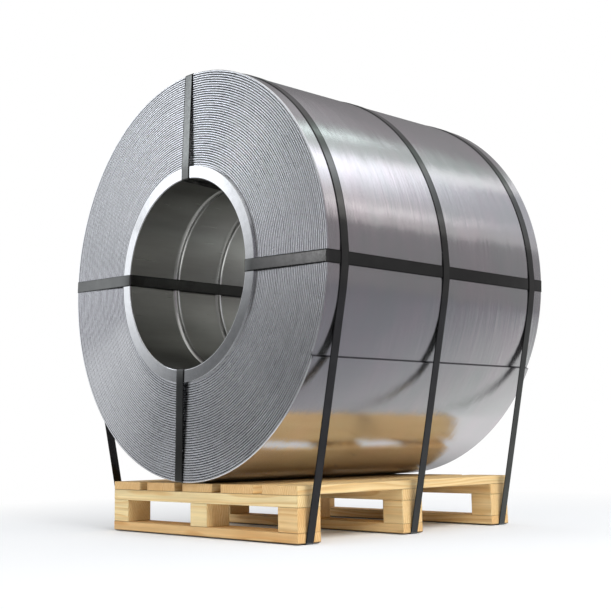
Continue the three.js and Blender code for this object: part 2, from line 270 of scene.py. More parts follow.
def gap_at(i):
    """How far a point of the section lies between two turns: 0 on a crown, 1 at the bottom."""
    from_inside = min(i, SECTION_POINTS - 1 - i)
    if from_inside < TURNS_START or from_inside >= RIM_START:
        return 0.0
    depth = EDGE_SHAPE[(from_inside - TURNS_START) % len(EDGE_SHAPE)][1]
    return depth / EDGE_SHAPE[0][1]


def swept_rings():
    """The coil's vertices, how far each lies in a gap, and the vertex numbers of each ring."""
    vertices, gaps, rings = [], [], []
    for ring in range(RINGS):
        angle = TAIL_ANGLE + 2 * math.pi * ring / RINGS
        start = len(vertices)
        vertices += [around_axis(r, y, angle) for r, y in coil_section(ring / RINGS)]
        gaps += [gap_at(i) for i in range(SECTION_POINTS)]
        rings.append(list(range(start, start + SECTION_POINTS)))
    return vertices, gaps, rings


coil_vertices, coil_gaps, coil_rings = swept_rings()
print(len(coil_vertices), "points on the rings of the coil")

# %% Close the ring
ONE_TURN = len(EDGE_SHAPE)  # points that the closing ring is shifted by
OWN_START = RIM_START - ONE_TURN  # from here to the rim it has points of its own


def closing_ring(first, vertices, gaps):
    """The ring that ends the sweep: the first one, shifted out by one turn, plus points of
    its own at the innermost turn and at the tail."""
    section = coil_section(1.0)
    closing = []
    for i in range(SECTION_POINTS):
        mirrored = SECTION_POINTS - 1 - i
        if i == 0 or mirrored == 0:
            closing.append(first[i])
        elif TURNS_START <= i < OWN_START:
            closing.append(first[i + ONE_TURN])
        elif TURNS_START <= mirrored < OWN_START:
            closing.append(first[i - ONE_TURN])
        else:
            closing.append(len(vertices))
            vertices.append(around_axis(*section[i], TAIL_ANGLE))
            gaps.append(gap_at(i))
    return closing


coil_closing = closing_ring(coil_rings[0], coil_vertices, coil_gaps)
print(len(coil_vertices) - RINGS * SECTION_POINTS, "points of its own on the closing ring")

# %% Faces of the coil
CUT_EDGE_SHADE = 0.6  # painted shade: the tail's cut edge is painted nearly as dark as a gap
tail = range(RIM_START, SECTION_POINTS - RIM_START)  # points of the section along it


def coil_faces(rings, closing):
    """The swept faces, the eye's wall, and the small faces at the strip's end and start."""
    first = rings[0]
    faces = grid_faces(rings + [closing])
    eye_wall = [(ring[0], ring[-1]) for ring in rings]
    faces += grid_faces(eye_wall + [eye_wall[0]])
    faces += grid_faces([[first[i] for i in tail], [closing[i] for i in tail]])
    front_end = closing[OWN_START - 1:tail[0] + 1] + [first[tail[0]]]
    rear_end = closing[tail[-1]:SECTION_POINTS - OWN_START + 1] + [first[tail[-1]]]
    start = TURNS_START
    front_start = first[:start + ONE_TURN + 1] + closing[start - 1:0:-1]
    rear_start = first[-start - ONE_TURN - 1:] + closing[-2:-start - 1:-1]
    return faces + [tuple(corners) for corners in (front_end, rear_end, front_start, rear_start)]


# The tail's cut edge gets painted shade, for the shadow under the step at the strip's end.
for i in tail:
    coil_gaps[coil_rings[0][i]] = coil_gaps[coil_closing[i]] = CUT_EDGE_SHADE
coil = make_piece("coil_turns", coil_vertices, coil_faces(coil_rings, coil_closing),
                  "strip_steel", ["coil"], smooth_below=20)
write_values(coil.data, "gap", coil_gaps)
report(coil)

# %% [markdown]
# ## The core sleeve
# The strip is wound on a steel tube that stays in the coil. It stands a few millimetres
# proud of the end faces, and half-round beads rolled into its bore keep it stiff. It could
# be cut from cylinders, but it is a turned piece, so its section is swept once round the
# axis. That gives each bead a smooth swell and rounds the four corners, the bore's more than
# the outside's, because a mandrel slides in over them.

# %% Section of the sleeve
SLEEVE_RINGS = 192
CORNER_RADIUS = 0.8 * MILLIMETRE
EYE_CORNER_RADIUS = 2.5 * MILLIMETRE
CORNER_STEPS, EYE_CORNER_STEPS = 4, 8
BORE_LAND = 6 * MILLIMETRE  # plain bore beside each end, before the first bead
BEAD_SETBACKS = (0.153, 0.306)  # bead middles, from the coil's nearer end face
BEAD_WIDTH, BEAD_HEIGHT, BEAD_STEPS = 0.025, 0.007, 16
BEAD_FULLNESS = 0.8  # below 1 the bead's back is rounder and its flanks steeper


def arc(centre, radius, start, end, steps):
    """Points of an arc in the plane of the axis, as (radius, y); angles in degrees."""
    angles = np.radians(np.linspace(start, end, steps + 1))
    return [(centre[0] + radius * math.cos(a), centre[1] + radius * math.sin(a)) for a in angles]


def bead(middle):
    """One bead, followed towards -Y: the wall rises into the bore and comes back."""
    points = []
    for share in np.linspace(-1, 1, BEAD_STEPS + 1):
        rise = BEAD_HEIGHT * math.cos(share * math.pi / 2) ** BEAD_FULLNESS
        points.append((BORE_RADIUS - rise, middle - share * BEAD_WIDTH / 2))
    return points


def sleeve_section():
    """The sleeve's closed outline, as (radius, y): both ends and the beads of the bore."""
    end, outer = SLEEVE_HALF_WIDTH - CORNER_RADIUS, SLEEVE_RADIUS - CORNER_RADIUS
    eye_end, inner = SLEEVE_HALF_WIDTH - EYE_CORNER_RADIUS, BORE_RADIUS + EYE_CORNER_RADIUS
    section = arc((inner, -eye_end), EYE_CORNER_RADIUS, 180, 270, EYE_CORNER_STEPS)
    section += arc((outer, -end), CORNER_RADIUS, 270, 360, CORNER_STEPS)
    section += arc((outer, end), CORNER_RADIUS, 0, 90, CORNER_STEPS)
    section += arc((inner, eye_end), EYE_CORNER_RADIUS, 90, 180, EYE_CORNER_STEPS)
    section.append((BORE_RADIUS, SLEEVE_HALF_WIDTH - BORE_LAND))
    setbacks = [setback - COIL_HALF_WIDTH for setback in BEAD_SETBACKS]
    for middle in sorted([*setbacks, *[-y for y in setbacks]], reverse=True):
        section += bead(middle)
    section.append((BORE_RADIUS, BORE_LAND - SLEEVE_HALF_WIDTH))
    return section


print(len(sleeve_section()), "points in the sleeve's section")


# %% Sweep the sleeve
def sweep_round(section, rings):
    """Vertices and faces of a closed section, turned once round the coil's axis."""
    angles = [TAIL_ANGLE + 2 * math.pi * i / rings for i in range(rings)]
    vertices = [around_axis(r, y, angle) for angle in angles for r, y in section]
    count = len(section)
    rows = [list(range(i * count, (i + 1) * count)) for i in range(rings)]
    return vertices, grid_faces(rows + [rows[0]], around=True)


sleeve = make_piece("core_sleeve_turned", *sweep_round(sleeve_section(), SLEEVE_RINGS),
                    "sleeve_steel", ["core_sleeve"])
for face in sleeve.data.polygons:
    face.use_smooth = abs(face.normal.y) < FLAT  # the two end faces stay flat
report(sleeve)

# %% [markdown]
# ## Strapping
# A tight strap takes the shortest way round what it binds, so it follows the convex hull of
# the points that hold it: on a pallet load these are the coil's outside, the corners of the
# skids and any strap below. A curve with a bevel could follow that too, but it would round
# off the corners. So the loop is worked out flat, moved out by the clearance, and a thin
# section with rounded edges is swept along it. Beside its edges a strap's face is painted
# dark, as painted shade along them, so each point also carries how pale it is.


# %% Tight loops
def convex_hull(points):
    """The convex hull of flat points, anticlockwise."""
    ordered = sorted(set((round(x, 7), round(y, 7)) for x, y in points))

    def chain(line):
        kept = []
        for x, y in line:
            while len(kept) > 1:
                (ax, ay), (bx, by) = kept[-2:]
                if (bx - ax) * (y - ay) - (by - ay) * (x - ax) > 1e-9:
                    break
                kept.pop()
            kept.append((x, y))
        return kept[:-1]

    return chain(ordered) + chain(ordered[::-1])


CORNER_STEP = math.radians(15)  # the most that a strap turns at one point of its loop


def tight_loop(supports):
    """Points and outward normals of a strap's inner face round the supports."""
    hull = [Vector(corner) for corner in convex_hull(supports)]
    loop = []
    for i, corner in enumerate(hull):
        before, after = corner - hull[i - 1], hull[(i + 1) % len(hull)] - corner
        start = math.atan2(-before.x, before.y)
        turn = abs(before.angle_signed(after))
        steps = max(1, math.ceil(turn / CORNER_STEP))
        shares = [0.5] if steps == 1 else [n / steps for n in range(steps + 1)]
        for share in shares:
            angle = start + turn * share
            normal = Vector((math.cos(angle), math.sin(angle)))
            loop.append((corner + normal * FIT, normal))
    return loop


print(len(tight_loop([(0, 0), (1, 0), (1, 1), (0, 1)])), "points in a loop round a square")


# %% Section of a strap
STRAP_EDGE = 0.35 * STRAP_THICKNESS  # radius of its rounded edges
EDGE_SHADE_MARGIN = 3.0 * MILLIMETRE  # beside each edge, where the outer face is painted dark as shade
STRAP_POINTS, UNSHADED_POINTS = 14, (6, 7)  # in the section, and those where the painted edge shade ends


def strap_section(width):
    """A flat strap's section with rounded edges, as (across, height)."""
    half = STRAP_THICKNESS / 2
    section = []
    for side, outward in ((1, -1), (1, 1), (-1, 1), (-1, -1)):
        across, height = side * (width / 2 - STRAP_EDGE), half + outward * (half - STRAP_EDGE)
        edge = [(across + side * STRAP_EDGE * math.sin(a),
                 height + outward * STRAP_EDGE * math.cos(a)) for a in np.radians((0, 45, 90))]
        section += edge if side * outward < 0 else edge[::-1]
    unshaded_middle = width / 2 - EDGE_SHADE_MARGIN
    return section[:6] + [(unshaded_middle, STRAP_THICKNESS), (-unshaded_middle, STRAP_THICKNESS)] + section[6:]


def mark_edge_shade(strap, middle_share=1.0):
    """Writes how pale every point of a swept strap is: 0 along its edges, which get painted shade.
    """
    write_values(strap.data, "unshaded_middle", [middle_share if i % STRAP_POINTS in UNSHADED_POINTS else 0.0
                                      for i in range(len(strap.data.vertices))])


print(STRAP_POINTS, "points in a strap's section")


# %% Sweep a strap
def band(loop, width, place):
    """Sweeps a strap's section along a loop. place turns (along-plane x, y, across) into
    a point of the load."""
    section = strap_section(width)
    vertices = []
    for point, normal in loop:
        for across, height in section:
            foot = point + normal * height
            vertices.append(place(foot.x, foot.y, across))
    count = len(section)
    rows = [list(range(i * count, (i + 1) * count)) for i in range(len(loop))]
    return vertices, grid_faces(rows + [rows[0]], around=True)


def tie(kind, place_name, loop, width, place, middle_share):
    """One strap of a kind, in the place of its CAD node."""
    strap = make_piece(f"{kind}_band_{place_name}", *band(loop, width, place), "strapping",
                       [f"{kind}_strap_{place_name}"])
    mark_edge_shade(strap, middle_share)
    report(strap)
    return strap


# %% What holds an eye strap
EYE_STRAPS = {"top": 88.6, "left": 177.4, "bottom": 266.8, "right": 357.5}  # degrees
EYE_STRAP_WIDTH = 0.032


def radius_at(angle):
    """The radius of the coil's outside at an angle."""
    turned = (angle - TAIL_ANGLE) / (2 * math.pi)
    return outer_radius(turned - math.floor(turned))


def rim_under_strap(angle):
    """The coil's radius at the higher of the strap's two edges."""
    half_span = math.asin(EYE_STRAP_WIDTH / 2 / TAIL_RADIUS)
    return max(radius_at(angle - half_span), radius_at(angle + half_span))


def eye_strap_supports(angle):
    """Half of the load's section through the axis, as (radius, y). Inside the round bore the
    flat strap lies on its two edges, a little nearer to the axis than the wall."""
    rim = rim_under_strap(angle)
    wall = (SLEEVE_RADIUS + BORE_RADIUS) / 2
    supports = [(rim - inset, side * (COIL_HALF_WIDTH - depth))
                for inset, depth in RIM_SHAPE for side in (-1, 1)]
    for radius, y in sleeve_section():
        flat = math.sqrt(radius ** 2 - (EYE_STRAP_WIDTH / 2) ** 2) if radius < wall else radius
        supports.append((flat, y))
    return supports


print(len(eye_strap_supports(0.0)), "points that an eye strap may rest on")

# %% Eye straps
# How pale the middle of an eye strap's face is; its edges get painted shade.
EYE_STRAP_MIDDLE = 0.75


def eye_place(angle):
    """Turns a point of an eye strap's plane (radius, y, across) into a point of the load."""
    outward = Vector((math.cos(angle), 0, math.sin(angle)))
    sideways = Vector((-math.sin(angle), 0, math.cos(angle)))
    axis = Vector((0, 0, AXIS_HEIGHT))
    return lambda radius, y, across: (axis + outward * radius + sideways * across
                                      + Vector((0, y, 0)))


eye_ties = {name: (tight_loop(eye_strap_supports(math.radians(degrees))), EYE_STRAP_WIDTH,
                   eye_place(math.radians(degrees)))
            for name, degrees in EYE_STRAPS.items()}
straps = [tie("eye", name, *eye_ties[name], EYE_STRAP_MIDDLE) for name in EYE_STRAPS]

# %% What holds a girth strap
STRIP_STEPS = 4 * RINGS  # points that stand for the strip's outside
SKID_CORNER = 2 * MILLIMETRE  # rounding of the skids' lower corners
skid_low, skid_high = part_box("bottom_board_front")


def girth_supports():
    """The section of the load across its axis: strip, eye straps and the skids' underside."""
    supports = []
    for share in np.arange(STRIP_STEPS + 1) / STRIP_STEPS:
        radius, angle = outer_radius(share), TAIL_ANGLE + 2 * math.pi * share
        supports.append((radius * math.cos(angle), AXIS_HEIGHT + radius * math.sin(angle)))
    for degrees in EYE_STRAPS.values():
        angle = math.radians(degrees)
        face = rim_under_strap(angle) + FIT + STRAP_THICKNESS
        for side in (-1, 1):
            across = side * (EYE_STRAP_WIDTH / 2 - 0.3 * MILLIMETRE)  # its edge is rounded
            supports.append((face * math.cos(angle) - across * math.sin(angle),
                             AXIS_HEIGHT + face * math.sin(angle) + across * math.cos(angle)))
    for x, inward in ((skid_low.x, 1), (skid_high.x, -1)):
        for a in np.radians((0, 30, 60, 90)):
            supports.append((x + inward * SKID_CORNER * (1 - math.cos(a)),
                             skid_low.z + SKID_CORNER * (1 - math.sin(a))))
    return supports


girth_loop = tight_loop(girth_supports())
print(len(girth_loop), "points in a girth strap's loop")

# %% Girth straps
GIRTH_STRAPS = ("front", "middle", "rear")
# How pale the middle of a girth strap's face is; its edges get painted shade.
GIRTH_STRAP_MIDDLE = 1.0
girth_low, girth_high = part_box("girth_strap_front")


def girth_place(place_name):
    """Turns a point of a girth strap's plane (x, z, across) into a point of the load."""
    low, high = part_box(f"girth_strap_{place_name}")
    middle = (low.y + high.y) / 2
    return lambda x, z, across: Vector((x, middle + across, z))


girth_ties = {name: (girth_loop, girth_high.y - girth_low.y, girth_place(name))
              for name in GIRTH_STRAPS}
straps += [tie("girth", name, *girth_ties[name], GIRTH_STRAP_MIDDLE) for name in GIRTH_STRAPS]

# %% [markdown]
# ## Seals
# A strap's two ends lap over each other inside a folded clip, and a crimping tool notches
# the clip and both straps from the sides. The notches could be cut with booleans, but the
# clip has to bend with the strap as well. So the clip and the free end are both drawn
# straight first, as rows of points along the strap, and then laid on the strap's outer
# face: they follow it on the flat end of the coil and round its curved side.


# %% Laying things on a strap
class StrapFace:
    """The outer face of a strap, read by the distance along it."""

    def __init__(self, loop):
        self.points = [point + normal * STRAP_THICKNESS for point, normal in loop]
        self.points.append(self.points[0])
        self.normals = [normal for _, normal in loop]
        self.normals.append(self.normals[0])
        steps = [(b - a).length for a, b in zip(self.points, self.points[1:])]
        self.reach = np.concatenate([[0.0], np.cumsum(steps)])

    def at(self, distance):
        """The point and the outward normal at a distance."""
        distance %= self.reach[-1]
        i = int(np.searchsorted(self.reach, distance, side="right")) - 1
        share = (distance - self.reach[i]) / (self.reach[i + 1] - self.reach[i])
        return (self.points[i].lerp(self.points[i + 1], share),
                self.normals[i].lerp(self.normals[i + 1], share).normalized())

    def nearest(self, target):
        """The distance, to a millimetre, at which the face comes nearest to a point."""
        distances = np.arange(0, self.reach[-1], 1 * MILLIMETRE)
        return min(distances, key=lambda d: (self.at(d)[0] - target).length)


def laid_on(face, seat, rows, place):
    """Lays rows of (across, height) on a strap. rows is [(distance from the seat, row)]."""
    vertices, numbers = [], []
    for along, row in rows:
        point, normal = face.at(seat + along)
        numbers.append(list(range(len(vertices), len(vertices) + len(row))))
        for across, height in row:
            foot = point + normal * height
            vertices.append(place(foot.x, foot.y, across))
    faces = grid_faces(numbers)
    faces += [(a[-1], a[0], b[0], b[-1]) for a, b in zip(numbers, numbers[1:])]
    return vertices, faces + [tuple(numbers[0]), tuple(numbers[-1])]


print(f"a girth strap is {StrapFace(girth_loop).reach[-1]:.2f} m long")


# %% Shape of a seal
SEAL_LENGTH, SEAL_THICKNESS, SEAL_FLANGE = 0.045, 0.001, 0.001
SEAL_ROWS = 45
SEAL_FOLD = 0.4 * MILLIMETRE  # rounding of its folded edges
SEAL_TOP = 2 * FIT + STRAP_THICKNESS  # the clip's inside, over the strap's free end
NOTCH_PLACES, NOTCH_HALF, NOTCH_DEPTH = (-0.010, 0.010), 0.0042, 0.0022
NOTCH_LIP = 0.35  # share of a notch in which the flange lifts, before the side goes in
NOTCH_HEM = SEAL_TOP - 0.15 * MILLIMETRE  # how high the flange's lower edge is lifted


def seal_rows(strap_width):
    """A clip that is folded over the two layers of strap, row by row along it."""
    rows = []
    for along in np.linspace(-SEAL_LENGTH / 2, SEAL_LENGTH / 2, SEAL_ROWS):
        notch = max(0.0, *(1 - abs(along - place) / NOTCH_HALF for place in NOTCH_PLACES))
        lift = min(1.0, notch / NOTCH_LIP)
        pinch = max(0.0, (notch - NOTCH_LIP) / (1 - NOTCH_LIP))
        inside = strap_width / 2 + FIT - NOTCH_DEPTH * pinch
        outside = inside + SEAL_THICKNESS
        hem = -SEAL_FLANGE * (1 - lift) + NOTCH_HEM * lift
        top = SEAL_TOP + SEAL_THICKNESS
        half = [(inside, SEAL_TOP), (inside, hem), (outside, hem), (outside, top - SEAL_FOLD),
                (outside - 0.3 * SEAL_FOLD, top - 0.3 * SEAL_FOLD), (outside - SEAL_FOLD, top)]
        rows.append((along, half + [(-x, y) for x, y in reversed(half)]))
    return rows


print(f"a seal stands {1000 * (SEAL_TOP + SEAL_THICKNESS):.1f} mm above its strap")


# %% Shape of a free end
FREE_END = 0.042  # how far the free end of the strap sticks out of its seal
FREE_END_ROWS = 24
TUCKED = 2 * MILLIMETRE  # its other end stops this far inside the seal


def free_end_rows(strap_width):
    """The strap's free end: it comes from under the seal and lies on the strap."""
    section = [(x, y + FIT) for x, y in strap_section(strap_width)]
    return [(along, section) for along in np.linspace(TUCKED - SEAL_LENGTH / 2,
                                                      SEAL_LENGTH / 2 + FREE_END, FREE_END_ROWS)]


print(f"a free end shows for {1000 * FREE_END:.0f} mm")


# %% Place the seals
EYE_SEAL_RADIUS = 0.42  # on the rear end face
GIRTH_SEAL_ANGLE = math.radians(150)  # on the side away from the tail


def seal_and_end(kind, place_name, target, loop, width, place):
    """A seal and a free end, where the strap's face comes nearest to a target."""
    face = StrapFace(loop)
    seat = face.nearest(target)
    clip = make_piece(f"{kind}_clip_{place_name}", *laid_on(face, seat, seal_rows(width), place),
                      "seal_steel", [f"{kind}_seal_{place_name}"], smooth_below=40)
    end = make_piece(f"{kind}_band_end_{place_name}",
                     *laid_on(face, seat, free_end_rows(width), place), "strapping")
    mark_edge_shade(end)
    return clip, end


eye_target = Vector((EYE_SEAL_RADIUS, COIL_HALF_WIDTH))
girth_target = Vector((TAIL_RADIUS * math.cos(GIRTH_SEAL_ANGLE),
                       AXIS_HEIGHT + TAIL_RADIUS * math.sin(GIRTH_SEAL_ANGLE)))
seals = []
for kind, target, ties in (("eye", eye_target, eye_ties), ("girth", girth_target, girth_ties)):
    for place_name, tied in ties.items():
        clip, end = seal_and_end(kind, place_name, target, *tied)
        seals.append(clip)
        straps.append(end)
print(len(seals), "seals, each with its strap's free end")

# %% [markdown]
# ## Pallet timber
# Boards and blocks are sawn and a little rounded from handling. A box with a bevel modifier
# would round every edge alike, but a block's corners are knocked more than its level edges,
# and the edges that slide on the floor are worn rounder still. So each box is bevelled in
# steps, while its six sides stay flat. What makes it wood is the grain, and grain belongs
# to the log: every point carries its place in the log that its board was sawn from, and the
# material draws the growth rings from that.

# %% Bevelled boxes
BOARD_EDGE = 1.5 * MILLIMETRE
FOOT_EDGE = 4.5 * MILLIMETRE  # the edges that slide on the floor
BLOCK_CORNER = 2.4 * MILLIMETRE  # a block's upright edges
BLOCK_EDGE = 0.8 * MILLIMETRE  # and its level ones
UPRIGHT_STEPS, LEVEL_STEPS = 4, 2  # rows of faces in a rounding


def bevel(build, edges, offset, steps):
    bmesh.ops.bevel(build, geom=edges, offset=offset, offset_type="OFFSET",
                    segments=steps, profile=0.5, affect="EDGES", clamp_overlap=True)


def level_edges(build, height):
    return [edge for edge in build.edges
            if all(abs(vertex.co.z - height) < 0.1 * MILLIMETRE for vertex in edge.verts)]


def upright_edges(build):
    return [edge for edge in build.edges
            if abs(edge.verts[0].co.z - edge.verts[1].co.z) > 10 * MILLIMETRE]


def timber_mesh(node, upright_edge, level_edge, foot_edge):
    """A block or board in the space of its node, with its edges rounded."""
    low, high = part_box(node)
    size = high - low
    build = bmesh.new()
    bmesh.ops.create_cube(build, size=1)
    for vertex in build.verts:
        vertex.co = Vector([low[i] + (vertex.co[i] + 0.5) * size[i] for i in range(3)])
    worn_foot = foot_edge > upright_edge
    if worn_foot:
        bevel(build, level_edges(build, low.z), foot_edge, LEVEL_STEPS)  # the largest first
    bevel(build, upright_edges(build), upright_edge, UPRIGHT_STEPS)
    bevel(build, level_edges(build, high.z), level_edge, LEVEL_STEPS)
    if not worn_foot:
        bevel(build, level_edges(build, low.z), foot_edge, LEVEL_STEPS)
    mesh = bpy.data.meshes.new(node)
    build.to_mesh(mesh)
    build.free()
    for face in mesh.polygons:
        face.use_smooth = max(abs(value) for value in face.normal) < FLAT
    return mesh


print(f"edges rounded by {1000 * BLOCK_EDGE:.1f} to {1000 * FOOT_EDGE:.1f} mm")


# %% Dirt and painted shade
ARRIS_INSET = (0.05 * MILLIMETRE, 0.7 * MILLIMETRE)  # a rounded edge's points lie this deep
JOINT_DIRT_AND_SHADE, FREE_DIRT = 1.0, 0.4  # level edges, where two timbers meet, get more: dirt and painted shade in the joint
FOOT_SHADOW_SHARE = 0.6  # of a foot edge, painted near black as the contact shadow on the floor
DECK_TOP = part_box("deck_board_1")[1].z


def mark_dirt_and_shade(mesh, low, high, foot_edge):
    """Writes where a timber's edges are darkened, by dirt and in its joints by painted shade, and
    where its foot edge gets a painted contact shadow.
    """
    edge_dirt_and_shade, foot = [], []
    for vertex in mesh.vertices:
        inset = [min(vertex.co[k] - low[k], high[k] - vertex.co[k]) for k in range(3)]
        on_arris = ARRIS_INSET[0] < min(inset) < ARRIS_INSET[1]
        on_joint = inset[2] == min(inset) and vertex.co.z < DECK_TOP - 1 * MILLIMETRE
        edge_dirt_and_shade.append((JOINT_DIRT_AND_SHADE if on_joint else FREE_DIRT) if on_arris else 0.0)
        foot.append(1.0 if vertex.co.z - low.z < FOOT_SHADOW_SHARE * foot_edge else 0.0)
    write_values(mesh, "edge_dirt_and_shade", edge_dirt_and_shade)
    write_values(mesh, "foot", foot)


print(f"the deck's top is {DECK_TOP:.3f} m up")


# %% Place in the log
rng = random.Random(41)
PITH_DISTANCE = (0.09, 0.2)  # from the middle of a piece to the pith of its log
PITH_LEAN = 0.35  # radians, either way
LOG_LENGTH = 9.0


def mark_log(mesh, middle, grain_axis, closeness):
    """Writes every point's place in the log: two distances across it and one along it."""
    away = rng.uniform(*PITH_DISTANCE)
    turn = rng.choice((0, math.pi)) + rng.uniform(-PITH_LEAN, PITH_LEAN)
    along = rng.uniform(0, LOG_LENGTH)
    first, second = [i for i in range(3) if i != grain_axis]
    log = mesh.attributes.new("log", "FLOAT_VECTOR", "POINT")
    for i, vertex in enumerate(mesh.vertices):
        offset = vertex.co - middle
        log.data[i].vector = (closeness * (offset[first] + away * math.cos(turn)),
                              closeness * (offset[second] + away * math.sin(turn)),
                              offset[grain_axis] + along)


print(f"logs {LOG_LENGTH:.0f} m long, pith up to {PITH_DISTANCE[1]} m from a piece")


# %% Boards and blocks
ALONG_X, ALONG_Y = 0, 1  # the way a log ran
BOARD_RINGS, BLOCK_RINGS = 1.3, 1.5  # how close the growth rings lie
DECK_TONES = (0.6, 0.7, 0.6, 0.65, 0.45)  # 0 is pale wood and 1 is warm wood
# The tones of the stringer and the bottom board of a skid, and of its three blocks.
# The blocks of the middle and rear skids stand in shade; their warmer tones are partly painted
# bounce light.
SKID_TONES = {"front": (0.0, 1.0, {"left": 0.0, "middle": 0.0, "right": 0.7}),
              "middle": (0.35, 0.6, {"left": 0.45, "middle": 0.5, "right": 0.3}),
              "rear": (0.4, 0.6, {"left": 0.45, "middle": 0.35, "right": 0.3})}


def timber(node, tone, grain_axis=ALONG_X, upright_edge=BOARD_EDGE,
           level_edge=BOARD_EDGE, foot_edge=None, closeness=BOARD_RINGS):
    """A piece of pine in the place of its CAD node."""
    low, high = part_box(node)
    mesh = timber_mesh(node, upright_edge, level_edge, foot_edge or level_edge)
    mark_dirt_and_shade(mesh, low, high, foot_edge or 0.0)
    mark_log(mesh, (low + high) / 2, grain_axis, closeness)
    write_values(mesh, "tone", [tone] * len(mesh.vertices))
    write_values(mesh, "end_grain", [1.0 if abs(face.normal[grain_axis]) > 0.7 else 0.0
                                     for face in mesh.polygons], "FACE")
    return place_piece(f"timber_{node}", mesh, [node])


timbers = [timber(f"deck_board_{n}", tone, ALONG_Y)
           for n, tone in enumerate(DECK_TONES, start=1)]
for place_name, (upper_tone, lower_tone, block_tones) in SKID_TONES.items():
    timbers.append(timber(f"stringer_{place_name}", upper_tone))
    timbers.append(timber(f"bottom_board_{place_name}", lower_tone,
                          foot_edge=FOOT_EDGE))
    for side, tone in block_tones.items():
        timbers.append(timber(f"block_{place_name}_{side}", tone,
                              upright_edge=BLOCK_CORNER, level_edge=BLOCK_EDGE,
                              closeness=BLOCK_RINGS))
print(len(timbers), "pieces of timber")

# %% [markdown]
# ## Nail heads
# The deck boards are nailed to the stringers, two nails at each crossing. A driven nail shows
# only its round head, nearly level with the wood. A disc on the board would flicker where
# the two faces coincide, so each head is a thin button that starts inside the wood and
# stands a quarter of a millimetre out of it. All of them are one mesh. The board that
# carries the coil has none on the line where the coil rests.

# %% Nail heads
NAIL_RADIUS, NAIL_PROUD = 0.004, 0.25 * MILLIMETRE
NAIL_SIDES = 16
NAIL_SHAPE = [(NAIL_RADIUS, -1.0 * MILLIMETRE), (NAIL_RADIUS, 0.1 * MILLIMETRE),
              (NAIL_RADIUS - 0.5 * MILLIMETRE, NAIL_PROUD)]  # radius and height, going up
NAIL_PLACES = ((0.24, -0.012), (0.76, 0.014))  # share of the board's width, and y off the middle
NAIL_SCATTER = 0.004
COIL_LINE = 0.045  # no nail is nearer than this to the line where the coil rests
nail_vertices, nail_faces = [], []


def add_nail(x, y, top):
    """Adds one nail head to the lists."""
    rows = []
    for radius, height in NAIL_SHAPE:
        rows.append(list(range(len(nail_vertices), len(nail_vertices) + NAIL_SIDES)))
        nail_vertices.extend((x + radius * math.cos(a), y + radius * math.sin(a), top + height)
                             for a in np.linspace(0, 2 * math.pi, NAIL_SIDES, endpoint=False))
    nail_faces.extend(grid_faces(rows, around=True) + [tuple(rows[0]), tuple(rows[-1])])


for n in range(1, len(DECK_TONES) + 1):
    board_low, board_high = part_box(f"deck_board_{n}")
    for place_name in SKID_TONES:
        stringer_low, stringer_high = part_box(f"stringer_{place_name}")
        for share, offset in NAIL_PLACES:
            x = board_low.x + share * (board_high.x - board_low.x)
            x += rng.uniform(-1, 1) * NAIL_SCATTER
            y = (stringer_low.y + stringer_high.y) / 2 + offset
            y += rng.uniform(-1, 1) * NAIL_SCATTER
            if abs(x) >= COIL_LINE:
                add_nail(x, y, board_high.z)
nails = make_piece("nail_heads", nail_vertices, nail_faces, "seal_steel", smooth_below=40)
report(nails)

# %% [markdown]
# ## Helpers for materials
# Materials are graphs of shader nodes. Wired by hand, a graph this size is hard to read, so
# these helpers add a node and feed its sockets in one line. They also make and place node
# groups with named sockets, so that an effect can be shared between materials.


# %% Nodes and sockets
def feed(tree, node, feeds):
    """Feeds a node's inputs: an output socket is linked, and a plain value is set."""
    for key, value in feeds.items():
        if isinstance(value, bpy.types.NodeSocket):
            tree.links.new(value, node.inputs[key])
        else:
            node.inputs[key].default_value = value


def add_node(tree, kind, feeds=None, **settings):
    made = tree.nodes.new(kind)
    for key, value in settings.items():
        setattr(made, key, value)
    feed(tree, made, feeds or {})
    return made


def attribute(tree, name, output="Fac"):
    """Reads what write_values has written on the mesh."""
    return add_node(tree, "ShaderNodeAttribute", attribute_name=name).outputs[output]


def own_place(tree):
    """The point in the piece's own coordinates, so that marks stay where they are on it."""
    return add_node(tree, "ShaderNodeTexCoord").outputs["Object"]


# %% Sums with nodes
MIX_FACTOR, MIX_FIRST, MIX_SECOND, MIX_RESULT = 0, 6, 7, 2  # the colour sockets of a Mix node


def math_node(tree, operation, first, second=0.0, clamp=False):
    return add_node(tree, "ShaderNodeMath", {0: first, 1: second},
                    operation=operation, use_clamp=clamp).outputs[0]


def vector_math(tree, operation, *vectors, scale=None):
    """A vector, or a plain number for a length and a dot product."""
    feeds = dict(enumerate(vectors))
    if scale is not None:
        feeds["Scale"] = scale
    made = add_node(tree, "ShaderNodeVectorMath", feeds, operation=operation)
    return made.outputs["Value" if operation in ("LENGTH", "DOT_PRODUCT") else "Vector"]


def spread(tree, value, low, high, to_low=0.0, to_high=1.0):
    """Maps a value's range onto another, and holds it at the ends."""
    return add_node(tree, "ShaderNodeMapRange",
                    {"Value": value, "From Min": low, "From Max": high,
                     "To Min": to_low, "To Max": to_high}, clamp=True).outputs["Result"]


def mix_colors(tree, factor, first, second):
    """Mixes two colours. Each is a socket, or three plain values."""
    feeds = {MIX_FACTOR: factor}
    for key, color in ((MIX_FIRST, first), (MIX_SECOND, second)):
        feeds[key] = color if isinstance(color, bpy.types.NodeSocket) else (*color, 1)
    return add_node(tree, "ShaderNodeMix", feeds, data_type="RGBA").outputs[MIX_RESULT]


# %% Groups and materials
FLOAT, COLOR, VECTOR = "NodeSocketFloat", "NodeSocketColor", "NodeSocketVector"


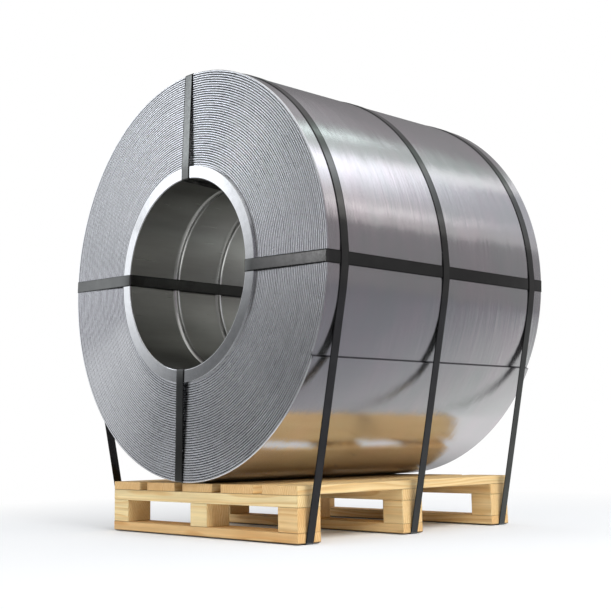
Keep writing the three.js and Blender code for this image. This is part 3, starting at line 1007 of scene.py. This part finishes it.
def new_group(name, inputs, outputs):
    """A shader node group. inputs is [(name, kind, value)], outputs is [(name, kind)]."""
    group = bpy.data.node_groups.new(name, "ShaderNodeTree")
    for label, kind, value in inputs:
        socket = group.interface.new_socket(label, in_out="INPUT", socket_type=kind)
        if value is not None:
            socket.default_value = value
    for label, kind in outputs:
        group.interface.new_socket(label, in_out="OUTPUT", socket_type=kind)
    given = group.nodes.new("NodeGroupInput").outputs
    return group, given, group.nodes.new("NodeGroupOutput")


def place_group(tree, group, feeds):
    return add_node(tree, "ShaderNodeGroup", feeds, node_tree=group).outputs


def new_material(name, **values):
    """A material and its Principled shader, with plain values set on the shader's sockets."""
    material = bpy.data.materials.new(name)
    material.use_nodes = True
    shader = material.node_tree.nodes["Principled BSDF"]
    for key, value in values.items():
        shader.inputs[key.replace("_", " ")].default_value = value
    print("material:", name)
    return material, material.node_tree, shader


def dress(piece, *materials):
    piece.data.materials.clear()
    for material in materials:
        piece.data.materials.append(material)


# %% [markdown]
# ## Coordinates round the axis
# Everything on the coil runs round it: rolling marks, oil streaks and the lines of its turns.
# UV maps could follow that, but the coil and the sleeve would each need one, unwrapped to
# the same scale. So a group turns a point of the load into how far it lies round the coil,
# along the axis and out from it. It also gives the way in which the strip winds there.

# %% Group: round the coil
coil_lines, given, out = new_group(
    "RoundTheCoil", [("Height", FLOAT, AXIS_HEIGHT)],
    [("Around", FLOAT), ("Across", FLOAT), ("Radius", FLOAT), ("Vector", VECTOR),
     ("Winding Way", VECTOR)])
spot = add_node(coil_lines, "ShaderNodeSeparateXYZ", {0: own_place(coil_lines)}).outputs
above = math_node(coil_lines, "SUBTRACT", spot["Z"], given["Height"])
angle = math_node(coil_lines, "ARCTAN2", above, spot["X"])
square = math_node(coil_lines, "ADD", math_node(coil_lines, "MULTIPLY", spot["X"], spot["X"]),
                   math_node(coil_lines, "MULTIPLY", above, above))
radius = math_node(coil_lines, "SQRT", square)
round_about = add_node(coil_lines, "ShaderNodeCombineXYZ",
                       {"X": angle, "Y": spot["Y"], "Z": radius}).outputs[0]
to_rim = add_node(coil_lines, "ShaderNodeCombineXYZ", {"X": spot["X"], "Z": above}).outputs[0]
winding = vector_math(coil_lines, "NORMALIZE",
                      vector_math(coil_lines, "CROSS_PRODUCT", (0, -1, 0), to_rim))
feed(coil_lines, out, {"Around": angle, "Across": spot["Y"], "Radius": radius,
                       "Vector": round_about, "Winding Way": winding})
print("group:", coil_lines.name, "with", len(coil_lines.nodes), "nodes")


def round_the_coil(tree):
    return place_group(tree, coil_lines, {"Height": AXIS_HEIGHT})


# %% [markdown]
# ## Streaks
# Rolled steel carries fine marks that run one way. Noise that is stretched along the marks
# gives them: one coordinate is scaled up a lot and the others little. With three like scales
# the same group gives the even mottling of black strapping. It puts out a fine mask and a
# broad one, so that a material can use one for its gloss and the other for its tint.

# %% Group: streaks
streaks, given, out = new_group(
    "Streaks", [("Vector", VECTOR, None), ("Fine Scale", VECTOR, (1, 1, 1)),
                ("Broad Scale", VECTOR, (1, 1, 1)), ("Roughness", FLOAT, 0.6)],
    [("Fine", FLOAT), ("Broad", FLOAT)])
for label in ("Fine", "Broad"):
    stretched = vector_math(streaks, "MULTIPLY", given["Vector"], given[f"{label} Scale"])
    noise = add_node(streaks, "ShaderNodeTexNoise",
                     {"Vector": stretched, "Scale": 1.0, "Detail": 4.0,
                      "Roughness": given["Roughness"]}).outputs["Fac"]
    feed(streaks, out, {label: spread(streaks, noise, 0.3, 0.7)})
print("group:", streaks.name, "with", len(streaks.nodes), "nodes")


def streak_marks(tree, place, fine, broad):
    """The two masks, for a place and how much each of its coordinates is scaled up."""
    return place_group(tree, streaks, {"Vector": place, "Fine Scale": fine,
                                       "Broad Scale": broad})


# %% [markdown]
# ## Steel of the coil
# The sheet is bright cold-rolled steel under a film of oil: a metal with low roughness, so
# that it mirrors the deck and the studio, with streaks in its gloss along the rolling
# direction and a faint tint in its stains. What tells sheet from a perfect mirror is that
# its images wobble and are smeared across the grinding marks of the rolls. A bump map of
# those marks would work, but only at the distance it is tuned for. So the normal itself is
# leaned by small amounts, which hold from any distance.
#
# The turns' edges are sheared, so they are duller and paler, and the gaps get painted shade.
# The mesh carries where the gaps are, because it knows the turns.

# %% Rolled sheet
sheet, tree, shader = new_material("rolled_sheet", Metallic=0.97)
turned = round_the_coil(tree)
marks = streak_marks(tree, turned["Vector"], (2.0, 260.0, 1.0), (2.6, 9.0, 1.0))
feed(tree, shader, {
    "Base Color": mix_colors(tree, marks["Broad"], (0.615, 0.63, 0.635), (0.68, 0.635, 0.665)),
    "Roughness": spread(tree, marks["Fine"], 0, 1, 0.1, 0.15)})

# %% Waves and grinding marks
# In narrow bands the sheet leans a degree or so along the winding.
NARROW_LEAN, WIDE_LEAN, GRINDING_LEAN = 0.009, 0.013, 0.1  # either way, on a normal of length 1
waves = streak_marks(tree, turned["Vector"], (5.0, 42.0, 1.0), (2.0, 12.0, 1.0))
lean = math_node(tree, "ADD", spread(tree, waves["Fine"], 0, 1, -NARROW_LEAN, NARROW_LEAN),
                 spread(tree, waves["Broad"], 0, 1, -WIDE_LEAN, WIDE_LEAN))
leaning = vector_math(tree, "SCALE", turned["Winding Way"], scale=lean)
# The grinding marks run round the coil, so they smear what it mirrors across it.
grinding = streak_marks(tree, turned["Vector"], (3.0, 4000.0, 1.0), (2.0, 160.0, 1.0))
tip = spread(tree, grinding["Fine"], 0, 1, -GRINDING_LEAN, GRINDING_LEAN)
tipping = add_node(tree, "ShaderNodeCombineXYZ", {"Y": tip}).outputs[0]
leaning = vector_math(tree, "ADD", leaning, tipping)
flat_normal = add_node(tree, "ShaderNodeNewGeometry").outputs["Normal"]
leaning = vector_math(tree, "NORMALIZE", vector_math(tree, "ADD", flat_normal, leaning))
sheet_bump = add_node(tree, "ShaderNodeBump", {"Strength": 0.1, "Distance": 0.0003,
                                               "Height": marks["Fine"], "Normal": leaning})
feed(tree, shader, {"Normal": sheet_bump.outputs["Normal"]})
print(f"the sheet leans by up to {math.degrees(NARROW_LEAN + WIDE_LEAN):.1f} degrees")

# %% Sheared edges of the turns
edges, tree, shader = new_material("sheared_edges", Metallic=1.0)
marks = streak_marks(tree, round_the_coil(tree)["Vector"], (8.0, 1.0, 700.0), (0.8, 1.0, 55.0))
bright = mix_colors(tree, marks["Broad"], (0.73, 0.74, 0.77), (0.8, 0.81, 0.84))
# The gaps between the turns are painted near black, as painted shade in the crevices.
painted_gap_shade = spread(tree, attribute(tree, "gap"), 0.2, 0.55)
feed(tree, shader, {"Base Color": mix_colors(tree, painted_gap_shade, bright, (0.1, 0.1, 0.11)),
                    "Roughness": spread(tree, marks["Fine"], 0, 1, 0.24, 0.3)})


# %% Dress the coil
def is_sheet(face):
    """Whether a face of the coil is on its curved sides, between the rounded rims."""
    outward = Vector((face.center.x, 0, face.center.z - AXIS_HEIGHT)).normalized()
    return (abs(face.normal.dot(outward)) > 0.9
            and abs(face.center.y) < COIL_HALF_WIDTH - 0.5 * MILLIMETRE)


dress(coil, sheet, edges)
for face in coil.data.polygons:
    face.material_index = 0 if is_sheet(face) else 1
print("sheet faces:", sum(face.material_index == 0 for face in coil.data.polygons))

# %% [markdown]
# ## Steel of the sleeve
# The sleeve's ends are smooth and bright. Its bore is given darker steel, as painted shade
# inside the eye, and the crests of its beads are painted pale, as a painted highlight. The
# mask could be painted by hand, but its place is known: it is whatever stands near enough to
# the axis. So the radius that the group puts out makes the mask, and the same mask makes the crests
# paler and smoother.

# %% Sleeve finishes
sleeve_end, tree, shader = new_material("sleeve_end", Metallic=1.0)
marks = streak_marks(tree, round_the_coil(tree)["Vector"], (6.0, 1.0, 900.0), (14.0, 14.0, 60.0))
feed(tree, shader, {
    "Base Color": mix_colors(tree, marks["Broad"], (0.64, 0.645, 0.655), (0.72, 0.725, 0.735)),
    "Roughness": spread(tree, marks["Fine"], 0, 1, 0.06, 0.11)})

sleeve_bore, tree, shader = new_material("sleeve_bore", Metallic=1.0)
turned = round_the_coil(tree)
marks = streak_marks(tree, turned["Vector"], (50.0, 5.0, 1.0), (5.0, 3.0, 1.0))
# The bore is given darker steel than the ends: painted shade for the inside of the eye.
painted_bore_shade = mix_colors(tree, marks["Broad"], (0.54, 0.535, 0.512), (0.64, 0.645, 0.62))
crest = spread(tree, turned["Radius"], BORE_RADIUS - BEAD_HEIGHT * 0.85,
               BORE_RADIUS - BEAD_HEIGHT * 0.55, 1, 0)
gloss = math_node(tree, "SUBTRACT", spread(tree, marks["Fine"], 0, 1, 0.27, 0.33),
                  math_node(tree, "MULTIPLY", crest, 0.12))
# The crests are painted pale, a painted highlight along each bead, and they are smoother too.
feed(tree, shader, {"Base Color": mix_colors(tree, crest, painted_bore_shade, (0.95, 0.95, 0.94)),
                    "Roughness": gloss})


# %% Dress the sleeve
def is_bore(face):
    """Whether a face of the sleeve is inside the eye, between its rounded ends."""
    from_axis = math.hypot(face.center.x, face.center.z - AXIS_HEIGHT)
    return (from_axis < BORE_RADIUS + 0.2 * MILLIMETRE
            and abs(face.center.y) < SLEEVE_HALF_WIDTH - 0.7 * EYE_CORNER_RADIUS)


dress(sleeve, sleeve_end, sleeve_bore)
for face in sleeve.data.polygons:
    face.material_index = 1 if is_bore(face) else 0
print("bore faces:", sum(face.material_index == 1 for face in sleeve.data.polygons))

# %% [markdown]
# ## Strapping finish
# Steel strapping is blued and waxed. It could be a black paint under a clear coat, but the
# steel shines through the thin wax, so it is a dark metal. Beside its edges it is painted
# near black, as painted shade along them, and the middle of its face is a shade paler and
# mottled. The strap's points say how pale they are. The seals and the nail heads are the
# same dark steel without wax: duller, and mottled all over.

# %% Strapping
strap_black, tree, shader = new_material("strap_black", Metallic=1.0)
marks = streak_marks(tree, own_place(tree), (160.0, 160.0, 160.0), (25.0, 25.0, 25.0))
strap_middle = mix_colors(tree, marks["Broad"], (0.125, 0.127, 0.124), (0.155, 0.158, 0.153))
# Beside its edges the strap is painted near black: painted shade along the edges.
feed(tree, shader, {
    "Base Color": mix_colors(tree, attribute(tree, "unshaded_middle"), (0.03, 0.03, 0.03), strap_middle),
    "Roughness": spread(tree, marks["Fine"], 0, 1, 0.11, 0.17)})
for strap in straps:
    dress(strap, strap_black)

# %% Seals and nails
seal_black, tree, shader = new_material("seal_black", Metallic=1.0)
marks = streak_marks(tree, own_place(tree), (260.0, 260.0, 260.0), (60.0, 60.0, 60.0))
feed(tree, shader, {
    "Base Color": mix_colors(tree, marks["Broad"], (0.13, 0.13, 0.132), (0.2, 0.2, 0.202)),
    "Roughness": spread(tree, marks["Fine"], 0, 1, 0.25, 0.42)})
for piece in seals + [nails]:
    dress(piece, seal_black)
print("black steel:", len(straps), "straps and ends,", len(seals), "seals and the nails")

# %% [markdown]
# ## Pine
# Growth rings are circles round the log's pith, squeezed by noise so that they wander. Each
# ring goes slowly from pale spring wood to a thin dark line of summer wood. A picture of
# wood on each face would break at the edges, but the rings are drawn in the log, so a board
# shows long lines on its faces and arcs on its ends that meet them. Between the rings run
# the fibres, streaks and broad warm patches, all stretched along the log.

# %% Group: growth rings
growth, given, out = new_group(
    "GrowthRings",
    [("Log", VECTOR, None), ("Rings per Metre", FLOAT, 130.0),
     ("Spring Wood", COLOR, (0.8, 0.6, 0.34, 1)), ("Summer Wood", COLOR, (0.6, 0.36, 0.15, 1)),
     ("Ring Strength", FLOAT, 0.5), ("Edge Dirt and Shade", FLOAT, 0.0), ("End Grain", FLOAT, 0.0)],
    [("Color", COLOR), ("Height", FLOAT), ("Roughness", FLOAT)])


def log_noise(scale, detail):
    """Noise in the log, with its own scale across the log and along it."""
    return add_node(growth, "ShaderNodeTexNoise",
                    {"Vector": vector_math(growth, "MULTIPLY", given["Log"], scale),
                     "Scale": 1.0, "Detail": detail}).outputs


print("group:", growth.name)

# %% Rings
warp = vector_math(growth, "SUBTRACT", log_noise((11.0, 11.0, 1.6), 2.0)["Color"],
                   (0.5, 0.5, 0.5))
wandered = vector_math(growth, "MULTIPLY_ADD", warp, (0.05, 0.05, 0.0), given["Log"])
from_pith = vector_math(growth, "LENGTH",
                        vector_math(growth, "MULTIPLY", wandered, (1.0, 1.0, 0.0)))
year = math_node(growth, "FRACT",
                 math_node(growth, "MULTIPLY", from_pith, given["Rings per Metre"]))
summer = math_node(growth, "MULTIPLY", spread(growth, year, 0.35, 0.88),
                   spread(growth, year, 0.88, 1.0, 1, 0))
patch = spread(growth, log_noise((26.0, 26.0, 2.5), 2.0)["Fac"], 0.35, 0.7, 0.0, 0.34)
ring_share = math_node(growth, "MULTIPLY", summer, given["Ring Strength"])
wood_tint = mix_colors(growth, math_node(growth, "ADD", ring_share, patch, clamp=True),
                       given["Spring Wood"], given["Summer Wood"])
print("nodes for the rings:", len(growth.nodes))

# %% Fibres and shade
fibre = log_noise((700.0, 700.0, 20.0), 3.0)["Fac"]
streak = log_noise((110.0, 110.0, 3.0), 3.0)["Fac"]
shade = math_node(growth, "ADD", spread(growth, fibre, 0.3, 0.7, 0.93, 1.03),
                  spread(growth, streak, 0.3, 0.7, -0.13, 0.06))
# Sawn across, the fibres are points instead of streaks, and the wood looks smoother.
uneven = math_node(growth, "SUBTRACT", shade, 1.0)
calm = spread(growth, given["End Grain"], 0, 1, 1, 0.3)
shade = math_node(growth, "ADD", math_node(growth, "MULTIPLY", uneven, calm), 1.0)
# Rounded edges are darker: dirt, and painted shade where two timbers meet.
dirt_and_shade = spread(growth, given["Edge Dirt and Shade"], 0, 1, 1, 0.5)
shade = math_node(growth, "MULTIPLY", shade, dirt_and_shade)
feed(growth, out, {
    "Color": vector_math(growth, "SCALE", wood_tint, scale=shade),
    "Height": math_node(growth, "ADD", math_node(growth, "MULTIPLY", summer, 0.5), fibre),
    "Roughness": spread(growth, fibre, 0.3, 0.7, 0.62, 0.8)})
print("nodes with fibres and shade:", len(growth.nodes))

# %% Pine
pine, tree, shader = new_material("sawn_pine", IOR=1.45)
end_grain = attribute(tree, "end_grain")
tone = math_node(tree, "ADD", attribute(tree, "tone"),
                 math_node(tree, "MULTIPLY", end_grain, 0.3), clamp=True)
wood = place_group(tree, growth, {
    "Log": attribute(tree, "log", "Vector"), "Rings per Metre": 120.0,
    "Spring Wood": mix_colors(tree, tone, (0.93, 0.75, 0.41), (0.8, 0.53, 0.24)),
    "Summer Wood": mix_colors(tree, tone, (0.78, 0.52, 0.22), (0.62, 0.33, 0.11)),
    "Ring Strength": 0.75, "Edge Dirt and Shade": attribute(tree, "edge_dirt_and_shade"), "End Grain": end_grain})
bump = add_node(tree, "ShaderNodeBump", {"Strength": 0.2, "Distance": 0.0005,
                                         "Height": wood["Height"]})
# The lowest part of a bottom board's foot edge is painted near black: a painted contact shadow.
painted_foot_shadow = mix_colors(tree, attribute(tree, "foot"), wood["Color"], (0.05, 0.035, 0.02))
feed(tree, shader, {"Base Color": painted_foot_shadow, "Roughness": wood["Roughness"],
                    "Normal": bump.outputs["Normal"]})
for piece in timbers:
    dress(piece, pine)
print("pine on", len(timbers), "pieces")

# %% [markdown]
# ## Floor and background
# The floor is pale, keeps the load's shadow and fades to white with the distance from the
# pallet, so that no horizon shows. More light on the floor would also make it white, but
# the load would be lit too brightly. So its paint is mixed with a plain white glow, for the
# rays of the camera, of mirrors and of glass alone. The world is mixed in the same way.

# %% Floor
FLOOR_REACH = 40.0
SQUARE = ((0, 0), (1, 0), (1, 1), (0, 1))
X, Y, Z = 0, 1, 2


def rectangle(fixed, value, first, second):
    """Corners of a rectangle square to an axis. fixed is that axis and value its place on
    it; first and second are its ends along the other two, in their order."""
    corners = []
    for i, j in SQUARE:
        corner = [first[i], second[j]]
        corner.insert(fixed, value)
        corners.append(corner)
    return corners


def flat_sheet(name, corners):
    """A flat stage piece of four corners, with a UV map that runs from 0 to 1."""
    mesh = bpy.data.meshes.new(name)
    mesh.from_pydata(corners, [], [(0, 1, 2, 3)])
    layer = mesh.uv_layers.new(name="sheet")
    for loop, place in zip(layer.data, SQUARE):
        loop.uv = place
    piece = bpy.data.objects.new(name, mesh)
    bpy.context.scene.collection.objects.link(piece)
    return piece


floor = flat_sheet("floor", rectangle(Z, 0, (-FLOOR_REACH, FLOOR_REACH),
                                      (-FLOOR_REACH, FLOOR_REACH)))
print("floor:", 2 * FLOOR_REACH, "m wide")


# %% Floor paint
def seen_rays(tree):
    """1 for the rays that show the background, and 0 for those that light the load."""
    ray = add_node(tree, "ShaderNodeLightPath").outputs
    seen = math_node(tree, "MAXIMUM", ray["Is Camera Ray"], ray["Is Glossy Ray"])
    return math_node(tree, "MAXIMUM", seen, ray["Is Transmission Ray"])


floor_paint, tree, shader = new_material("floor_paint", Roughness=0.9,
                                         Base_Color=(0.85, 0.87, 0.895, 1),
                                         Specular_IOR_Level=0.0)
white = add_node(tree, "ShaderNodeEmission", {"Color": (1, 1, 1, 1), "Strength": 1.0})
# How far the floor is from the pallet's outline. The fade is steep at first and then slow.
beside = vector_math(tree, "ABSOLUTE", own_place(tree))
beside = vector_math(tree, "SUBTRACT", beside, (0.39, 0.4, 0.0))
distance = vector_math(tree, "LENGTH", vector_math(tree, "MAXIMUM", beside, (0, 0, 0)))
fade = math_node(tree, "ADD", spread(tree, distance, 0.0, 0.12, 0.02, 0.34),
                 spread(tree, distance, 0.12, 1.7, 0.0, 0.66))
blend = add_node(tree, "ShaderNodeMixShader",
                 {0: math_node(tree, "MULTIPLY", fade, seen_rays(tree)),
                  1: shader.outputs[0], 2: white.outputs[0]})
feed(tree, tree.nodes["Material Output"], {"Surface": blend.outputs[0]})
dress(floor, floor_paint)

# %% World
AMBIENT = 0.46
world = bpy.data.worlds.new("studio")
bpy.context.scene.world = world
world.use_nodes = True
tree = world.node_tree
tree.nodes.clear()
ambient = add_node(tree, "ShaderNodeBackground", {"Color": (0.96, 0.98, 1, 1),
                                                  "Strength": AMBIENT})
background = add_node(tree, "ShaderNodeBackground", {"Color": (1, 1, 1, 1), "Strength": 1.0})
blend = add_node(tree, "ShaderNodeMixShader", {0: seen_rays(tree), 1: ambient.outputs[0],
                                               2: background.outputs[0]})
add_node(tree, "ShaderNodeOutputWorld", {"Surface": blend.outputs[0]})
print("world light:", AMBIENT)

# %% [markdown]
# ## Lamps
# The load needs plain, soft light: one large lamp for the end face, a strong one on the
# right for the timber, and two dim ones from the left and from behind. A sun lamp would cast
# hard shadows of the straps, so all four are areas two or three metres wide. The steel
# doesn't mirror them, because the cards of the next step give it its highlights.


# %% Lamps
def soft_lamp(name, place, target, size, radiance):
    """A square area lamp that lights but isn't mirrored. radiance is its face's brightness."""
    data = bpy.data.lights.new(name, "AREA")
    data.shape = "RECTANGLE"
    data.size = data.size_y = size
    data.energy = radiance * math.pi * size * size
    lamp = bpy.data.objects.new(name, data)
    lamp.location = place
    lamp.rotation_mode = "QUATERNION"
    lamp.rotation_quaternion = (Vector(target) - Vector(place)).to_track_quat("-Z", "Y")
    lamp.visible_glossy = False
    bpy.context.scene.collection.objects.link(lamp)
    print(f"{name}: {data.energy:.0f} W")


soft_lamp("front_lamp", (-2.8, -5.5, 2.6), (0, -0.3, 0.3), 3.0, 4.1)
soft_lamp("right_lamp", (3.8, -0.7, 3.2), (0.3, 0, 0.15), 2.4, 10.0)
soft_lamp("left_lamp", (-3.6, 0.6, 3.4), (-0.3, 0, 0.2), 2.4, 2.6)
soft_lamp("rear_lamp", (1.5, 4.6, 4.6), (0, 0, 0.6), 3.0, 1.2)

# %% [markdown]
# ## Cards that the steel mirrors
# Metal shows what is round it, so the studio matters as much as the finish. A panorama could
# surround the load, but it is infinitely far, so the flat end faces would mirror only a small
# part of it. Cards that glow stand near the load instead, and only mirrors see them: grey
# walls, bright strips, a softbox behind the load, and the lit floor. A card's glow is plain
# or changes smoothly along one direction or several.

# %% Glowing cards
X_WAY, Y_WAY, Z_WAY = (1, 0, 0), (0, 1, 0), (0, 0, 1)


def ramp(tree, place, direction, stops):
    """A value that changes along a direction. stops is [(distance, value)]."""
    along = vector_math(tree, "DOT_PRODUCT", place, direction)
    value = stops[0][1]
    for (start, before), (end, after) in zip(stops, stops[1:]):
        value = math_node(tree, "ADD", value, spread(tree, along, start, end, 0, after - before))
    return value


def fading(direction, stops):
    """The glow of a card that changes along one direction alone."""
    return lambda tree, place: ramp(tree, place, direction, stops)


def mirrored_card(name, corners, glow_of, color=(1, 1, 1)):
    """A card that only mirrors see. glow_of and color build its glow and its colour from the
    tree and the place, or are plain values."""
    piece = flat_sheet(name, corners)
    for sight in ("camera", "diffuse", "shadow", "transmission", "volume_scatter"):
        setattr(piece, f"visible_{sight}", False)
    material = bpy.data.materials.new(name)
    material.use_nodes = True
    tree = material.node_tree
    tree.nodes.clear()
    place = own_place(tree)
    glow = glow_of(tree, place) if callable(glow_of) else glow_of
    tint = color(tree, place) if callable(color) else (*color, 1)
    shine = add_node(tree, "ShaderNodeEmission", {"Color": tint, "Strength": glow})
    add_node(tree, "ShaderNodeOutputMaterial", {"Surface": shine.outputs[0]})
    dress(piece, material)
    print("card:", name)


# %% Plain walls
REAR, LEFT, FRONT, RIGHT, TOP = 5.2, -5.2, -8.0, 8.0, 9.0


def rear_wall_glow(tree, place):
    """Dimmer towards its sides, and brighter at the top."""
    return math_node(tree, "ADD",
                     ramp(tree, place, X_WAY, [(-4.5, 0.22), (-2.2, 0.28), (-1.0, 0.32),
                                               (3.5, 0.32), (4.4, 0.225)]),
                     ramp(tree, place, Z_WAY, [(6.6, 0.0), (7.1, 0.15)]))


mirrored_card("rear_wall", rectangle(Y, REAR, (LEFT, RIGHT), (0, TOP)), rear_wall_glow,
              (1, 0.97, 1))
mirrored_card("front_wall", rectangle(Y, FRONT, (LEFT, RIGHT), (0, TOP)), 0.26)
mirrored_card("right_wall", rectangle(X, RIGHT, (FRONT, REAR), (0, TOP)), 0.275,
              (1.04, 0.955, 1.08))

# %% Left wall
COOL = (0.96, 0.985, 1.02)


def left_wall_glow(tree, place):
    """A lit patch whose soft lower edge climbs towards the front."""
    climbing = ramp(tree, place, (0, 0.85, 1),
                    [(-2.95, 0.0), (-2.75, 0.04), (-2.4, 0.36), (-2.05, 0.68), (-1.75, 1.02),
                     (-1.2, 1.2)])
    beside = ramp(tree, place, Y_WAY, [(-4.05, 0.0), (-3.4, 0.7)])
    lit = math_node(tree, "MAXIMUM", climbing, beside)
    for direction, stops in ((Y_WAY, [(-2.7, 1.0), (-1.9, 0.1)]),
                             (Z_WAY, [(2.4, 1.0), (3.2, 0.42), (5.0, 0.04)])):
        lit = math_node(tree, "MULTIPLY", lit, ramp(tree, place, direction, stops))
    return math_node(tree, "ADD", lit, ramp(tree, place, Y_WAY, [(-5.6, 0.09), (-4.2, 0.21)]))


def strip_light_glow(tree, place):
    """A narrow upright light in the patch, with soft edges."""
    across = ramp(tree, place, Y_WAY, [(-4.85, 0.0), (-4.6, 1.0), (-3.95, 1.0), (-3.7, 0.0)])
    along = ramp(tree, place, Z_WAY, [(1.9, 0.0), (2.15, 1.0), (2.9, 1.0), (3.2, 0.2)])
    strip = math_node(tree, "MULTIPLY", across, along)
    return math_node(tree, "ADD", math_node(tree, "MULTIPLY", strip, 1.1), 0.75)


mirrored_card("left_wall", rectangle(X, LEFT, (FRONT, REAR), (0, TOP)), left_wall_glow, COOL)
mirrored_card("strip_light", rectangle(X, LEFT + 0.02, (-4.85, -3.7), (2.0, 3.2)),
              strip_light_glow, COOL)

# %% Strip lights
mirrored_card("low_strip_light", [(LEFT + 0.02, -7.6, 2.2), (LEFT + 0.02, -5.2, 1.74),
                                  (LEFT + 0.02, -5.2, 2.03), (LEFT + 0.02, -7.6, 2.55)],
              fading(Y_WAY, [(-7.2, 4.0), (-6.2, 2.4), (-5.3, 1.1)]), (1.0, 0.98, 1.02))
mirrored_card("high_strip_light", rectangle(X, LEFT + 0.03, (-4.42, -3.94), (2.75, 4.5)), 4.6,
              (0.94, 0.985, 1.03))
mirrored_card("upper_strip_light", rectangle(X, LEFT + 0.03, (-1.8, 0.9), (4.7, 5.8)), 1.4)
mirrored_card("overhead_light", rectangle(Z, TOP - 0.02, (-3.5, 1.5), (-6.0, -1.8)), 1.0)

# %% Softbox behind the load
OUTWARD, DOWNWARD = (0.42, 0, 0.91), (0.91, 0, -0.42)  # along its long and its short side
ALONG_SEAM = (0.725, 0, -0.82)


def softbox_glow(tree, place):
    """Bright towards its far corner, dimmer towards the load, with a bright low seam."""
    outward = ramp(tree, place, OUTWARD, [(5.42, 0.0), (5.98, 0.95), (6.3, 0.84), (7.0, 1.17)])
    middle = ramp(tree, place, DOWNWARD,
                  [(-2.0, 0.05), (-1.1, 0.15), (-0.4, 1.0), (0.3, 1.05), (1.1, 0.5), (1.8, 0.27),
                   (3.2, 0.15)])
    seam = ramp(tree, place, ALONG_SEAM, [(-0.65, 0.0), (-0.3, 0.6), (-0.15, 0.6), (0.2, 0.0)])
    seam_ends = ramp(tree, place, OUTWARD, [(4.7, 0.0), (5.3, 1.0), (5.6, 1.0), (6.1, 0.5)])
    glow = ramp(tree, place, OUTWARD, [(5.2, 0.53), (6.6, 0.65)])
    for part in ((outward, middle), (seam, seam_ends)):
        glow = math_node(tree, "ADD", glow, math_node(tree, "MULTIPLY", *part))
    return glow


def softbox_tint(tree, place):
    """A trace of green at the top, of blue below it and of warmth along the low edge."""
    body = mix_colors(tree, ramp(tree, place, DOWNWARD, [(-1.5, 0.0), (-0.5, 1.0)]),
                      (0.93, 1.025, 0.99), (0.965, 0.995, 1.05))
    return mix_colors(tree, ramp(tree, place, DOWNWARD, [(1.3, 0.0), (2.1, 1.0)]),
                      body, (1.02, 0.985, 0.98))


mirrored_card("rear_softbox", [(1.07, 5.0, 1.35), (5.9, 5.0, 4.0), (4.7, 5.0, 9.9),
                               (-0.5, 5.0, 7.2)], softbox_glow, softbox_tint)
mirrored_card("softbox_edge_high", [(0.4, 4.95, 8.0), (0.35, 4.95, 6.55), (0.95, 4.95, 6.4),
                                    (1.0, 4.95, 8.0)], 1.6, (0.88, 1.02, 0.99))
mirrored_card("softbox_edge_low", [(1.0, 4.95, 5.6), (0.95, 4.95, 4.4), (1.6, 4.95, 4.3),
                                   (1.75, 4.95, 5.5)], 1.15, (0.97, 1.0, 1.0))

# %% Floor cards
CARD_HEIGHT = 1.0 * MILLIMETRE  # just off the floor
UNDER_HEIGHT = 6.0 * MILLIMETRE
TO_REAR_LEFT = (-1.6, 1, 0)


def floor_tint(tree, place):
    """A trace of lilac far off and of green near the load."""
    near = ramp(tree, place, TO_REAR_LEFT, [(-1.3, 0.0), (-0.3, 1.0)])
    return mix_colors(tree, near, (0.97, 0.95, 1.055), (0.975, 1.005, 0.985))


mirrored_card("floor_right", rectangle(Z, CARD_HEIGHT, (0.415, RIGHT), (-0.6, REAR)),
              fading(TO_REAR_LEFT, [(-3.2, 0.195), (-1.8, 0.225), (-1.3, 0.25), (-1.05, 0.285),
                                    (-0.8, 0.37), (-0.4, 0.49), (0.1, 0.82)]), floor_tint)
mirrored_card("floor_front", rectangle(Z, CARD_HEIGHT, (LEFT, RIGHT), (FRONT, -0.62)),
              fading(Y_WAY, [(-2.0, 0.17), (-1.2, 0.29), (-0.8, 0.46)]))
mirrored_card("floor_left", rectangle(Z, CARD_HEIGHT, (LEFT, -0.75), (-0.62, REAR)), 0.3)
mirrored_card("floor_rear", rectangle(Z, CARD_HEIGHT, (-0.75, 0.415), (0.44, REAR)),
              fading(X_WAY, [(-0.1, 0.35), (0.25, 0.86)]))
# The lit floor that shows through the gaps between the deck boards.
mirrored_card("floor_under", rectangle(Z, UNDER_HEIGHT, (0.16, 0.4), (-0.36, 0.38)), 0.8,
              (0.97, 1, 0.98))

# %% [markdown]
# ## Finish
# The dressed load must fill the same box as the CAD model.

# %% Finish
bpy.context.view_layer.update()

scene = bpy.context.scene
scene.view_settings.view_transform = "Standard"
